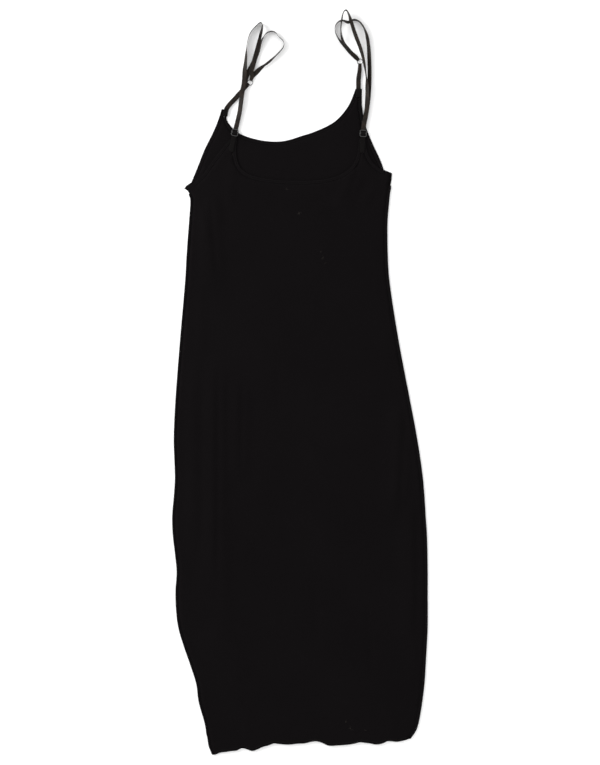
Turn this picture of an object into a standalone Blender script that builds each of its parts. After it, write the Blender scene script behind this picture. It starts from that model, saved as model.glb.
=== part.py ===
# A slip dress of black stretch jersey, laid flat on its front with its straps loose above it.
#
# +X is to the right as it is seen from above, +Y runs from the hem to the straps, and +Z is up.
# Sizes here are in millimetres, and MM turns them to metres where a mesh is made.

import math

import bmesh
import bpy
from mathutils import Vector
from mathutils.geometry import delaunay_2d_cdt, intersect_point_line

MM = 0.001

# Cloth and seams
WALL = 1.2              # jersey wall
GAP = 0.3               # space kept between pieces that touch
BINDING = 1.6           # thickness of a folded binding
BINDING_WIDTH = 6.0
BINDING_TIP = 3.0       # a binding narrows to this where a strap is sewn
BINDING_TAPER = 24.0
SEAM_INSET = 5.0        # the front wraps round each side and ends this far in
BACK_LOW = WALL + GAP   # underside of the back, which lies on the front

# Straps and their hardware
STRAP_WIDTH = 8.0
STRAP = 1.0             # thickness of the satin elastic
STRAP_STEP = 5.0        # spacing of a strap's cross sections
FLOOR_CLEAR = 0.05
RING_HOLE = 8.6
RING_WIRE = 1.0
RING_SPREAD = 33.0      # a strap wraps this many degrees of the ring on each side
RING_LEVEL = STRAP + GAP + RING_WIRE / 2
OVER_RING = RING_LEVEL + RING_WIRE / 2 + GAP
SLIDER_SIZE = 12.4
SLIDER_WIRE = 1.3
SLIDER_CORNER = 3.2
SLIDER_BASE = BINDING + GAP
SLIDER_LEVEL = SLIDER_BASE + 2 * (STRAP + GAP) + SLIDER_WIRE / 2

# Points of the panels
SIDE_STEPS = 26
HEM_STEPS = 36
BACK_COLUMNS = 26
BACK_ROWS = 26
FRONT_COLUMNS = 8
FRONT_ROWS = 12
INNER_CLEAR = 7.0
WRAP_STEPS = 4
SIDE_DENSITY = 0.5      # how much closer the columns stand at the sides than in the middle
FOLD_EASE = 30.0        # the folds die out over this distance from the side seams
SIDE_LOW = -560.0       # the side points are evenly spaced between these, and at the rows beyond
SIDE_TOP = 283.0
ROW_CLEAR = 4.0         # a row closer to the hem than this has no point of its own
CORNER_LEFT = 343.0     # height where both panels end at the left seam
CORNER_RIGHT = 365.0
TURN_TOP_LEFT = 329.0   # the front's edge is turned up to its seam below this, and flat above it
TURN_TOP_RIGHT = 344.0

# The two side edges: name, height, left, right
SIDE_ROWS = [
    ("hem", -652, -154, 186),
    ("above the point", -637, -160, 178),
    ("hem corner", -624, -162, 193),
    ("rounding", -616, -164, 199),
    ("above the rounding", -607, -165, 204),
    ("above the corner", -593, -168, 208),
    ("lower skirt", -557, -178, 214),
    ("below the knee", -522, -183, 218),
    ("knee", -487, -195, 220),
    ("above the knee", -430, -213, 223),
    ("lower thigh", -375, -218, 223),
    ("thigh", -330, -216, 223),
    ("middle of the thigh", -275, -222, 222),
    ("upper thigh", -242, -224, 220),
    ("below the hip", -172, -219, 215),
    ("hip", -102, -221, 205),
    ("above the hip", -32, -218, 192),
    ("waist", 73, -210, 172),
    ("ribs", 178, -201, 156),
    ("under the bust", 230, -198, 153),
    ("bust", 283, -194, 153),
    ("side", 318, -192, 156),
    ("below the tail", 328, -195, 157),
    ("lower edge of the tail", 334, -198, 158),
    ("tail", 338, -204, 159),
    ("above the tail", 343, -200, 159),
    ("below the corner", 352, -200, 161),
    ("corner", 365, -200, 162),
]

# The hem's line: name, share of the way across, height
HEM_ROWS = [
    ("left point", 0.000, -652),
    ("left rise", 0.040, -647),
    ("left", 0.100, -645),
    ("first crest", 0.145, -640),
    ("first dip", 0.195, -645),
    ("step", 0.260, -637),
    ("rise", 0.305, -632),
    ("middle left", 0.370, -634),
    ("middle", 0.450, -632),
    ("second crest", 0.525, -628),
    ("second dip", 0.600, -636),
    ("middle right", 0.700, -634),
    ("third crest", 0.750, -630),
    ("beside the crest", 0.790, -631),
    ("third dip", 0.845, -634),
    ("right", 0.900, -628),
    ("low right", 0.945, -629),
    ("before the corner", 0.985, -627),
    ("right corner", 1.000, -624),
]

# Edges of the front from left to right: name, across, height
FRONT_ARM_LEFT = [
    ("underarm", -190, 349),
    ("low", -178, 378),
    ("middle", -167, 406),
    ("high", -153, 434),
    ("upper", -143, 458),
    ("point", -137, 477),
]
FRONT_NECK = [
    ("left point", -126, 477),
    ("left inside", -129, 461),
    ("left corner", -118, 443),
    ("left shoulder", -97, 430),
    ("left middle", -60, 421),
    ("middle", -28, 421),
    ("right middle", 3, 430),
    ("right shoulder", 30, 439),
    ("right rise", 62, 456),
    ("right upper", 83, 480),
    ("right inside", 92, 498),
    ("right point", 97, 512),
]
FRONT_ARM_RIGHT = [
    ("point", 108, 512),
    ("upper", 108, 484),
    ("high", 114, 449),
    ("middle", 125, 420),
    ("low", 138, 392),
    ("corner", 144, 378),
    ("underarm", 146, 371),
]

# Edges of the back, in the same order
BACK_ARM_LEFT = [
    ("underarm", -188, 346),
    ("low", -170, 363),
    ("middle", -153, 387),
    ("high", -137, 407),
    ("point", -121, 425),
]
BACK_NECK = [
    ("left point", -110, 425),
    ("left inside", -112, 400),
    ("left corner", -104, 374),
    ("left shoulder", -84, 361),
    ("left middle", -40, 353),
    ("right middle", 34, 353),
    ("right shoulder", 76, 365),
    ("right corner", 97, 388),
    ("right point", 103, 425),
]
BACK_ARM_RIGHT = [
    ("point", 114, 425),
    ("high", 117, 404),
    ("middle", 126, 385),
    ("corner", 139, 373),
    ("underarm", 149, 368),
]

# Each edge with its number of columns, and whether it narrows at its start and at its end
FRONT_EDGES = {
    "arm_left": (FRONT_ARM_LEFT, 9, True, True),
    "neck": (FRONT_NECK, 18, True, True),
    "arm_right": (FRONT_ARM_RIGHT, 10, True, False),
}
BACK_EDGES = {
    "arm_left": (BACK_ARM_LEFT, 7, False, True),
    "neck": (BACK_NECK, 18, True, True),
    "arm_right": (BACK_ARM_RIGHT, 7, True, False),
}

# Folds of the back: name, top across, top height, bottom across, bottom height, rise, half width
FOLDS = [
    ("long crease left", -152, 60, -149, -390, 4.5, 17),
    ("second crease left", -108, 20, -110, -190, 3.0, 15),
    ("outer ridge left", -186, 80, -188, -340, 2.5, 15),
    ("bust fold left", -166, 345, -150, 140, 3.5, 16),
    ("hip fold right", 176, -20, 166, -250, 4.0, 16),
    ("thigh fold right", 194, -180, 194, -470, 3.0, 15),
    ("drag right", 96, 385, 70, 290, 2.5, 14),
    ("lower diagonal left", -160, -420, -90, -530, 3.0, 18),
    ("middle of the skirt", 30, -60, 60, -560, 2.0, 42),
    ("bust swell", -20, 330, 5, 60, 2.0, 60),
]

# Runs of each strap from its ring outwards: name, across, height, tilt in degrees, lift.
# The over run leaves the ring above it and ends sewn to the back, and the under run leaves the
# ring below it and ends at the slider's bar. A tilt of 90 stands the strap on its edge.
LEFT_UNDER = [
    ("clear of the ring", -78, 540, 4, 0.0),
    ("band", -70, 547, 45, 0.0),
    ("twist", -62, 553, 74, 0.0),
    ("outer arc", -54, 559, 70, 0.0),
    ("arc", -42, 570, 86, 0.0),
    ("right of the loop", -31, 582, 88, 0.0),
    ("bend", -28, 590, 88, 0.0),
    ("above the bend", -31, 597, 86, 0.0),
    ("notch", -38, 603, 80, 0.0),
    ("over the top", -42, 609, 86, 0.0),
    ("top", -50, 612, 88, 0.0),
    ("left of the top", -60, 608, 86, 0.0),
    ("under the band", -68, 595, 60, 0.0),
    ("middle band", -74, 579, 20, 0.0),
    ("crossing", -81, 560, 8, 0.0),
    ("beside the ring", -92, 538, 8, 0.6),
    ("past the ring", -97, 521, 8, 3.9),
    ("over the stub", -101, 506, 4, 3.9),
    ("below the stub", -103, 490, 16, 3.0),
    ("gap side", -106, 470, 18, 0.6),
    ("above the neck", -110, 452, 6, 1.9),
]
LEFT_OVER = [
    ("clear of the ring", -85, 543, 4, 3.8),
    ("band", -80, 561, 12, 3.2),
    ("wide band", -74, 584, 40, 5.0),
    ("narrowing", -69, 604, 56, 7.4),
    ("near the tip", -66, 619, 74, 3.0),
    ("tip", -68, 627, 88, 0.4),
    ("left of the tip", -75, 623, 88, 0.0),
    ("thin arc", -87, 609, 88, 0.0),
    ("thin side", -93, 588, 86, 0.0),
    ("widening", -95, 563, 50, 1.4),
    ("beside the ring", -97, 541, 14, 3.0),
    ("past the ring", -98, 522, 8, 5.5),
    ("over the stub", -101, 506, 4, 5.5),
    ("below the stub", -103, 490, 16, 4.6),
    ("gap side", -106, 470, 18, 2.4),
    ("above the neck", -110, 452, 6, 3.4),
]
RIGHT_UNDER = [
    ("clear of the ring", 87, 576, 35, 0.0),
    ("band", 73, 592, 48, 0.0),
    ("narrowing", 64, 605, 72, 0.0),
    ("left of the loop", 61, 618, 88, 0.0),
    ("bend", 65, 627, 88, 0.0),
    ("top left", 74, 631, 86, 0.0),
    ("notch", 83, 628, 70, 0.0),
    ("under the leg", 87, 629, 66, 0.0),
    ("top right", 93, 632, 80, 0.0),
    ("top arc", 102, 630, 88, 0.0),
    ("shoulder", 111, 619, 82, 0.0),
    ("right side", 118, 598, 50, 0.0),
    ("long side", 121, 561, 36, 0.0),
    ("lower side", 121, 521, 30, 0.0),
    ("closing in", 118, 486, 14, 1.2),
    ("beside the front", 115, 467, 6, 1.9),
    ("above the back", 112, 452, 6, 1.9),
]
RIGHT_OVER = [
    ("clear of the ring", 88, 576, 35, 2.9),
    ("band", 75, 594, 50, 2.8),
    ("leaving the band", 71, 613, 76, 6.5),
    ("left leg", 73, 633, 74, 8.6),
    ("near the tip", 76, 644, 86, 7.8),
    ("tip", 80, 647, 88, 7.4),
    ("past the tip", 84, 641, 76, 7.8),
    ("right leg", 89, 626, 50, 8.6),
    ("wide leg", 96, 606, 42, 5.4),
    ("above the ring", 105, 583, 48, 2.4),
    ("over the rim", 111, 561, 62, 2.9),
    ("thin side", 115, 535, 80, 1.8),
    ("joining", 117, 510, 40, 3.8),
    ("closing in", 117, 486, 14, 3.2),
    ("beside the front", 115, 467, 6, 3.4),
    ("above the back", 112, 452, 6, 3.4),
]

# The stub of each strap from the front's point to its ring: name, across, height
LEFT_STUB = [
    ("sewn end", -131, 464),
    ("point", -128, 478),
    ("free", -112, 497),
    ("near the ring", -98, 513),
]
RIGHT_STUB = [
    ("sewn end", 102, 498),
    ("point", 102, 512),
    ("free", 102, 528),
    ("near the ring", 104, 545),
]

# Places of each side's hardware and sewn end, and the way its strap leaves the ring in degrees
STRAP_SIDES = {
    "left": {
        "ring": (-87.4, 523.3), "leaves": 72.0, "slider": (-114.0, 435.0), "sewn": (-121.0, 402.0),
        "under": LEFT_UNDER, "over": LEFT_OVER, "stub": LEFT_STUB,
    },
    "right": {
        "ring": (104.6, 559.6), "leaves": 133.0, "slider": (110.2, 433.6), "sewn": (108.0, 400.0),
        "under": RIGHT_UNDER, "over": RIGHT_OVER, "stub": RIGHT_STUB,
    },
}


def clamp(value, low=0.0, high=1.0):
    return max(low, min(high, value))


def smooth(value):
    value = clamp(value)
    return value * value * (3.0 - 2.0 * value)


def blend(a, b, share):
    return a + (b - a) * share


def hermite(a, slope_a, b, slope_b, t):
    """A cubic from a to b with the slopes given at both ends."""
    start = a * (2 * t ** 3 - 3 * t ** 2 + 1) + slope_a * (t ** 3 - 2 * t ** 2 + t)
    return start + b * (3 * t ** 2 - 2 * t ** 3) + slope_b * (t ** 3 - t ** 2)


def smooth_path(knots, step):
    """Points on a smooth curve through the knots: each with its segment and its share of it."""
    last = len(knots) - 1
    ways = [(knots[min(i + 1, last)] - knots[max(i - 1, 0)]).normalized() for i in range(last + 1)]
    path = [(knots[0], 0, 0.0)]
    for i in range(last):
        length = (knots[i + 1] - knots[i]).length
        pieces = max(1, round(length / step))
        for j in range(1, pieces + 1):
            t = j / pieces
            point = hermite(knots[i], ways[i] * length, knots[i + 1], ways[i + 1] * length, t)
            path.append((point, i, t))
    return path


def edge_curve(rows):
    """A smooth line through an edge's rows."""
    return [place for place, _i, _t in smooth_path([Vector((r[1], r[2], 0.0)) for r in rows], 2.0)]


def evenly(points, pieces):
    """The same line in equal steps."""
    lengths = [0.0]
    for a, b in zip(points, points[1:]):
        lengths.append(lengths[-1] + (b - a).length)
    result = []
    place = 0
    for k in range(pieces + 1):
        wanted = lengths[-1] * k / pieces
        while place < len(points) - 2 and lengths[place + 1] < wanted:
            place += 1
        share = clamp((wanted - lengths[place]) / (lengths[place + 1] - lengths[place]))
        result.append(points[place].lerp(points[place + 1], share))
    return result


def side_edges(height):
    """Left and right edge of the dress at a height."""
    height = clamp(height, SIDE_ROWS[0][1], SIDE_ROWS[-1][1])
    i = 0
    while i < len(SIDE_ROWS) - 2 and height > SIDE_ROWS[i + 1][1]:
        i += 1
    low, high = SIDE_ROWS[i], SIDE_ROWS[i + 1]
    before, after = SIDE_ROWS[max(i - 1, 0)], SIDE_ROWS[min(i + 2, len(SIDE_ROWS) - 1)]
    length = high[1] - low[1]
    share = (height - low[1]) / length
    edges = []
    for column in (2, 3):
        rise = (high[column] - before[column]) / (high[1] - before[1]) * length
        next_rise = (after[column] - low[column]) / (after[1] - low[1]) * length
        edges.append(hermite(low[column], rise, high[column], next_rise, share))
    return edges


def hem_height(across):
    """Height of the hem at a share of the way across."""
    i = 0
    while i < len(HEM_ROWS) - 2 and across > HEM_ROWS[i + 1][1]:
        i += 1
    low, high = HEM_ROWS[i], HEM_ROWS[i + 1]
    return blend(low[2], high[2], smooth((across - low[1]) / (high[1] - low[1])))


def edge_stations(edge, pieces, narrow_start, narrow_end):
    """Even stations along an edge: each a place, the way into the cloth and the binding's width."""
    curve = edge_curve(edge)
    length = sum((b - a).length for a, b in zip(curve, curve[1:]))
    places = evenly(curve, pieces)
    fine = evenly(curve, pieces * 8)
    stations = []
    for k, place in enumerate(places):
        along = length * k / pieces
        width = BINDING_WIDTH
        if narrow_start:
            width = min(width, blend(BINDING_TIP, BINDING_WIDTH, smooth(along / BINDING_TAPER)))
        if narrow_end:
            width = min(width, blend(BINDING_TIP, BINDING_WIDTH, smooth((length - along) / BINDING_TAPER)))
        forward = (fine[min(8 * k + 3, 8 * pieces)] - fine[max(8 * k - 3, 0)]).normalized()
        stations.append((place, Vector((forward.y, -forward.x, 0.0)), width))
    return stations


def top_points(edges):
    """The panel's own top edge inside its bindings, from left to right and round both their ends."""
    points = []
    for edge in edges.values():
        points += [place + inward * (width + GAP) for place, inward, width in edge_stations(*edge)]
    for end, edge in ((0, edges["arm_left"]), (-1, edges["arm_right"])):
        place, inward, _width = edge_stations(*edge)[end]
        beyond = Vector((inward.y, -inward.x, 0.0)) * (GAP if end == 0 else -GAP)
        points[end] += beyond
        points.insert(0 if end == 0 else len(points), place + beyond)
    return points


def seam_heights(hem, corner):
    """Heights of the side points: even up the seam, and at the rows of the table at both ends."""
    low = [row[1] for row in SIDE_ROWS if hem + ROW_CLEAR < row[1] < SIDE_LOW]
    even = [blend(SIDE_LOW, SIDE_TOP, k / SIDE_STEPS) for k in range(SIDE_STEPS + 1)]
    return [hem] + low + even + [row[1] for row in SIDE_ROWS if SIDE_TOP < row[1] <= corner]


def side_points(side_inset):
    """Points up both side seams, at the same heights on each panel."""
    left = []
    for y in seam_heights(hem_height(0.0), CORNER_LEFT):
        left.append(Vector((side_edges(y)[0] + side_inset, y, 0.0)))
    right = []
    for y in seam_heights(hem_height(1.0), CORNER_RIGHT):
        right.append(Vector((side_edges(y)[1] - side_inset, y, 0.0)))
    return left, right


def panel_outline(edges, side_inset):
    """Points round a panel, anticlockwise from its left hem corner, and its two side edges."""
    left, right = side_points(side_inset)
    hem = []
    for k in range(1, HEM_STEPS):
        across = k / HEM_STEPS
        hem.append(Vector((blend(left[0].x, right[0].x, across), hem_height(across), 0.0)))
    top = top_points(edges)
    return [left[0]] + hem + right + top[::-1] + left[:0:-1], left, right


def inside(point, outline, clear):
    """Whether a point lies inside an outline, at least clear from it."""
    crossings = 0
    for a, b in zip(outline, outline[1:] + outline[:1]):
        _near, share = intersect_point_line(point, a, b)
        if (point - a.lerp(b, clamp(share))).length < clear:
            return False
        if (a.y > point.y) != (b.y > point.y):
            crossings += point.x < blend(a.x, b.x, (point.y - a.y) / (b.y - a.y))
    return crossings % 2 == 1


def inner_points(outline, columns, rows):
    """Points in rows inside an outline, closer together towards both sides."""
    low = min(p.y for p in outline)
    high = max(p.y for p in outline)
    points = []
    for j in range(1, rows):
        y = blend(low, high, j / rows)
        left, right = side_edges(y)
        for i in range(1, columns):
            t = (i + 0.5 * (j % 2) - 0.25) / columns
            across = t - SIDE_DENSITY * math.sin(2.0 * math.pi * t) / (2.0 * math.pi)
            point = Vector((blend(left, right, across), y, 0.0))
            if inside(point, outline, INNER_CLEAR):
                points.append(point)
    return points


def fill_panel(outline, inner, level):
    """A sheet of triangles inside the outline, through the inner points too."""
    places = outline + inner
    ring = [(i, (i + 1) % len(outline)) for i in range(len(outline))]
    flat, _edges, faces, _v, _e, _f = delaunay_2d_cdt([p.xy for p in places], ring, [], 1, 0.0001)
    sheet = bmesh.new()
    verts = [sheet.verts.new((p.x, p.y, level(p.x, p.y))) for p in flat]
    for face in faces:
        sheet.faces.new([verts[i] for i in face])
    return sheet


def fold_rise(x, y):
    """How far the folds lift the back at a place."""
    rise = 0.0
    for _name, x0, y0, x1, y1, height, half in FOLDS:
        start = Vector((x0, y0))
        line = Vector((x1, y1)) - start
        place = Vector((x, y)) - start
        share = clamp(place.dot(line) / line.length_squared)
        off = (place - line * share).length
        ends = smooth(share * 4.0) * smooth((1.0 - share) * 4.0)
        rise = max(rise, height * ends * smooth(1.0 - off / (2.0 * half)))
    left, right = side_edges(y)
    clear = min(x - left, right - x) - SEAM_INSET
    return rise * smooth(clear / FOLD_EASE)


def back_level(x, y):
    """Underside of the back, which clears the front's bindings at both underarms."""
    corners = ((-186, 356), (150, 370))
    near = min((Vector((x, y)) - Vector(corner)).length for corner in corners)
    return BACK_LOW + (BINDING - WALL) * smooth(2.0 - near / 28.0) + fold_rise(x, y)


def add_object(name, mesh, material):
    part = bpy.data.objects.new(name, mesh)
    mesh.materials.append(material)
    DRESS.objects.link(part)
    return part


def add_sheet(name, shape, thickness, material):
    """A sheet in millimetres as an object, thickened to a wall."""
    bmesh.ops.scale(shape, vec=(MM, MM, MM), verts=shape.verts)
    bmesh.ops.recalc_face_normals(shape, faces=shape.faces)
    mesh = bpy.data.meshes.new(name)
    shape.to_mesh(mesh)
    shape.free()
    mesh.shade_smooth()
    part = add_object(name, mesh, material)
    wall = part.modifiers.new("Wall", "SOLIDIFY")
    wall.thickness = thickness * MM
    wall.offset = 0.0
    wall.use_even_offset = True
    return part


def add_wall(name, rows, thickness, material):
    """A grid through rows of points, thickened to a wall."""
    shape = bmesh.new()
    bmesh.ops.create_grid(shape, x_segments=len(rows[0]) - 1, y_segments=len(rows) - 1, size=1.0)
    shape.verts.ensure_lookup_table()
    places = [place for row in rows for place in row]
    for vert, place in zip(shape.verts, places):
        vert.co = place
    return add_sheet(name, shape, thickness, material)


def build_back(material):
    outline, _left, _right = panel_outline(BACK_EDGES, SEAM_INSET + GAP)
    inner = inner_points(outline, BACK_COLUMNS, BACK_ROWS)
    sheet = fill_panel(outline, inner, lambda x, y: back_level(x, y) + WALL / 2)
    return add_sheet("back_panel", sheet, WALL, material)


def wrap_side(sheet, edge, side, radius):
    """The front's edge turned up and over to its seam: side is -1 on the left and 1 on the right."""
    found = {(round(v.co.x, 2), round(v.co.y, 2)): v for v in sheet.verts}
    before = None
    for place in edge:
        start = found[(round(place.x, 2), round(place.y, 2))]
        column = [start]
        for k in range(1, WRAP_STEPS + 1):
            angle = math.pi * k / WRAP_STEPS
            turned = Vector((side * radius * math.sin(angle), 0.0, radius * (1.0 - math.cos(angle))))
            column.append(sheet.verts.new(start.co + turned))
        inward = SEAM_INSET - radius - WALL / 2
        column.append(sheet.verts.new(start.co + Vector((-side * inward, 0.0, 2.0 * radius))))
        if before:
            for k in range(len(column) - 1):
                sheet.faces.new((before[k], column[k], column[k + 1], before[k + 1]))
        before = column


def build_front(material):
    radius = BACK_LOW / 2
    outline, left, right = panel_outline(FRONT_EDGES, radius + WALL / 2)
    sheet = fill_panel(outline, inner_points(outline, FRONT_COLUMNS, FRONT_ROWS), lambda x, y: WALL / 2)
    wrap_side(sheet, [p for p in left if p.y <= TURN_TOP_LEFT], -1, radius)
    wrap_side(sheet, [p for p in right if p.y <= TURN_TOP_RIGHT], 1, radius)
    return add_sheet("front_panel", sheet, WALL, material)


def build_binding(name, edge, level, material):
    """A flat binding beside a panel's edge, from the same stations as the panel's columns."""
    stations = edge_stations(*edge)
    rows = []
    for share in (0.0, 0.5, 1.0):
        places = [place + inward * (width * share) for place, inward, width in stations]
        rows.append([(p.x, p.y, level(p.x, p.y) + BINDING / 2) for p in places])
    return add_wall(name, rows, BINDING, material)


def build_bindings(material):
    for edge_name, edge in FRONT_EDGES.items():
        build_binding("front_binding_" + edge_name, edge, lambda x, y: 0.0, material)
    for edge_name, edge in BACK_EDGES.items():
        build_binding("back_binding_" + edge_name, edge, back_level, material)


def section(centre, forward, height, tilt=0.0, width=STRAP_WIDTH):
    """Left edge, middle and right edge of a strap across its way forward."""
    side = Vector((-forward.y, forward.x, 0.0)).normalized() * math.cos(tilt)
    side.z = math.sin(tilt)
    middle = Vector((centre.x, centre.y, height))
    return [middle + side * (width / 2), middle, middle - side * (width / 2)]


def run_sections(run):
    """Sections along one run of a strap, each resting on its lower edge at the run's lift."""
    path = smooth_path([Vector((r[1], r[2], 0.0)) for r in run], STRAP_STEP)
    last = len(path) - 1
    sections = []
    for k, (centre, i, t) in enumerate(path):
        tilt = math.radians(blend(run[i][3], run[i + 1][3], smooth(t)))
        lift = blend(run[i][4], run[i + 1][4], smooth(t)) + FLOOR_CLEAR
        height = lift + STRAP_WIDTH / 2 * abs(math.sin(tilt)) + STRAP / 2 * abs(math.cos(tilt))
        forward = path[min(k + 1, last)][0] - path[max(k - 1, 0)][0]
        sections.append(section(centre, forward, height, tilt))
    return sections


def ring_sections(ring, leaves):
    """Sections of a strap round the ring's wire, from over it, through the ring and out below it."""
    middle = RING_HOLE / 2 + RING_WIRE / 2
    reach = RING_WIRE / 2 + GAP + STRAP / 2
    sections = []
    for k in range(7):
        turn = math.radians(90.0 + 30.0 * k)
        out = middle + reach * math.cos(turn)
        height = RING_LEVEL + reach * math.sin(turn) + FLOOR_CLEAR
        ways = [math.radians(leaves + share * RING_SPREAD) for share in (-1.0, 0.0, 1.0)]
        sections.append([
            Vector((ring.x + out * math.cos(way), ring.y + out * math.sin(way), height)) for way in ways])
    return sections


def beside_ring(ring, leaves, height):
    """One flat section between the ring and the free strap."""
    outward = Vector((math.cos(math.radians(leaves)), math.sin(math.radians(leaves)), 0.0))
    return section(ring + outward * 10.0, outward, height + FLOOR_CLEAR, 0.0, STRAP_WIDTH - 0.8)


def slider_way(side):
    """The slider's centre and the way down the strap through it."""
    start = side["over"][-1]
    way = Vector((side["sewn"][0] - start[1], side["sewn"][1] - start[2], 0.0))
    return Vector((*side["slider"], 0.0)), way.normalized()


def slider_sections(side):
    """The over run through the slider and down to its sewn end on the back."""
    slider, down = slider_way(side)
    half = (SLIDER_SIZE - SLIDER_WIRE) / 2
    low = SLIDER_BASE + STRAP + GAP + STRAP / 2
    high = SLIDER_LEVEL + SLIDER_WIRE / 2 + GAP + STRAP / 2
    rest = BACK_LOW + BINDING + GAP + STRAP / 2
    places = [
        (-half - 3.5, low), (-half, low), (1.0 - half, low), (-1.6, high - 0.4), (0.0, high),
        (1.6, high - 0.4), (half - 1.0, low), (half, low), (half + 2.4, rest), (half + 8.0, rest),
        (half + 14.0, rest),
    ]
    sections = [section(slider + down * along, down, height) for along, height in places]
    sewn = Vector((*side["sewn"], 0.0))
    return sections + [section(sewn, down, rest)]


def bar_sections(side):
    """The end of the under run, held against the slider's bar from below."""
    slider, down = slider_way(side)
    half = (SLIDER_SIZE - SLIDER_WIRE) / 2
    low = SLIDER_BASE + STRAP / 2
    high = SLIDER_LEVEL - SLIDER_WIRE / 2 - GAP - STRAP / 2
    places = [(-half - 3.5, low), (-half, low), (1.3 - half, low), (-1.4, high - 0.1), (1.4, high - 0.1)]
    return [section(slider + down * along, down, height) for along, height in places]


def build_strap(name, side, material):
    """One length of elastic: sewn end, slider, over run, ring, under run and the slider's bar."""
    ring = Vector((*side["ring"], 0.0))
    over = run_sections(side["over"]) + slider_sections(side)
    under = run_sections(side["under"]) + bar_sections(side)
    over.insert(0, beside_ring(ring, side["leaves"], OVER_RING + STRAP / 2))
    under.insert(0, beside_ring(ring, side["leaves"], STRAP / 2))
    rows = [row[::-1] for row in over[::-1]]
    rows += ring_sections(ring, side["leaves"])
    rows += [row[::-1] for row in under]
    return add_wall(name, rows, STRAP, material)


def build_stub(name, side, material):
    """A short loop of strap, from the front's point round the ring's wire and back."""
    ring = Vector((*side["ring"], 0.0))
    knots = [Vector((r[1], r[2], 0.0)) for r in side["stub"]]
    outward = knots[-1] - ring
    leaves = math.degrees(math.atan2(outward.y, outward.x))
    line = evenly([place for place, _i, _t in smooth_path(knots, 2.0)], 10)
    apart = OVER_RING - STRAP - GAP
    lower = []
    upper = []
    for k, place in enumerate(line):
        forward = line[min(k + 1, 10)] - line[max(k - 1, 0)]
        share = k / 10
        low = STRAP / 2 + FLOOR_CLEAR + (BINDING + GAP) * smooth(1.4 - share * 2.0)
        high = low + STRAP + GAP + apart * smooth(share * 2.5 - 1.5)
        width = STRAP_WIDTH - 1.2 * smooth(share * 3.0 - 2.0)
        lower.append(section(place, forward, low, 0.0, width))
        upper.append(section(place, forward, high, 0.0, width))
    rows = upper + ring_sections(ring, leaves) + lower[::-1]
    return add_wall(name, rows, STRAP, material)


def build_ring(name, side, material):
    bpy.ops.mesh.primitive_torus_add(
        major_radius=(RING_HOLE + RING_WIRE) / 2 * MM, minor_radius=RING_WIRE / 2 * MM,
        major_segments=24, minor_segments=8,
        location=(side["ring"][0] * MM, side["ring"][1] * MM, (RING_LEVEL + FLOOR_CLEAR) * MM))
    part = bpy.context.object
    part.name = name
    part.data.name = name
    part.data.materials.append(material)
    part.data.shade_smooth()
    for collection in list(part.users_collection):
        collection.objects.unlink(part)
    DRESS.objects.link(part)
    return part


def rounded_outline(half_width, low, high, corner):
    """Points of a rounded rectangle, anticlockwise from its right side."""
    corners = [
        (half_width - corner, high - corner, 0.0), (corner - half_width, high - corner, 90.0),
        (corner - half_width, low + corner, 180.0), (half_width - corner, low + corner, 270.0)]
    points = []
    for x, y, start in corners:
        for step in range(5):
            angle = math.radians(start + 22.5 * step)
            points.append((x + corner * math.cos(angle), y + corner * math.sin(angle)))
    return points


def build_slider(name, side, material):
    """A rounded square with two windows, one above and one below its bar."""
    half = SLIDER_SIZE / 2
    window = half - SLIDER_WIRE
    inner_corner = SLIDER_CORNER - SLIDER_WIRE
    outlines = [
        rounded_outline(half, -half, half, SLIDER_CORNER),
        rounded_outline(window, SLIDER_WIRE / 2, window, inner_corner),
        rounded_outline(window, -window, -SLIDER_WIRE / 2, inner_corner),
    ]
    curve = bpy.data.curves.new(name, "CURVE")
    curve.dimensions = "2D"
    curve.fill_mode = "BOTH"
    curve.extrude = SLIDER_WIRE / 2 * MM
    for outline in outlines:
        spline = curve.splines.new("POLY")
        spline.points.add(len(outline) - 1)
        spline.use_cyclic_u = True
        for point, (x, y) in zip(spline.points, outline):
            point.co = (x * MM, y * MM, 0.0, 1.0)
    part = add_object(name, curve, material)
    slider, down = slider_way(side)
    part.location = (slider.x * MM, slider.y * MM, SLIDER_LEVEL * MM)
    part.rotation_euler.z = math.atan2(down.x, -down.y)
    return part


def make_material(name, colour, roughness, metallic=0.0):
    material = bpy.data.materials.new(name)
    material.use_nodes = True
    shader = material.node_tree.nodes["Principled BSDF"]
    shader.inputs["Base Color"].default_value = (*colour, 1.0)
    shader.inputs["Roughness"].default_value = roughness
    shader.inputs["Metallic"].default_value = metallic
    return material


for old in list(bpy.data.objects):
    bpy.data.objects.remove(old, do_unlink=True)

DRESS = bpy.data.collections.new("slip_dress")
bpy.context.scene.collection.children.link(DRESS)

jersey = make_material("black viscose jersey", (0.008, 0.0075, 0.0075), 0.85)
bound = make_material("black jersey binding", (0.010, 0.009, 0.009), 0.8)
satin = make_material("black satin elastic", (0.030, 0.027, 0.026), 0.4)
metal = make_material("black coated metal", (0.060, 0.057, 0.057), 0.25, 1.0)

build_front(jersey)
build_back(jersey)
build_bindings(bound)
for side_name, strap_side in STRAP_SIDES.items():
    build_strap("strap_" + side_name, strap_side, satin)
    build_stub("strap_stub_" + side_name, strap_side, satin)
    build_ring("ring_" + side_name, strap_side, metal)
    build_slider("slider_" + side_name, strap_side, metal)
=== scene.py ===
# %% [markdown]
# # A slip dress of black stretch jersey, laid flat
#
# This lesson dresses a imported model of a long, close-fitting slip dress. The dress lies on its
# front, with its back upwards and its two adjustable straps loose above it. The model that is
# loaded first holds the true places and sizes. Each step below swaps one of its plain solids
# for a piece of cloth, elastic or metal with the finish of the real one.

# %% Load the model that everything is fitted to
import math

import bmesh
import bpy
from mathutils import Matrix, Vector
from mathutils.geometry import delaunay_2d_cdt
import numpy as np


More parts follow.
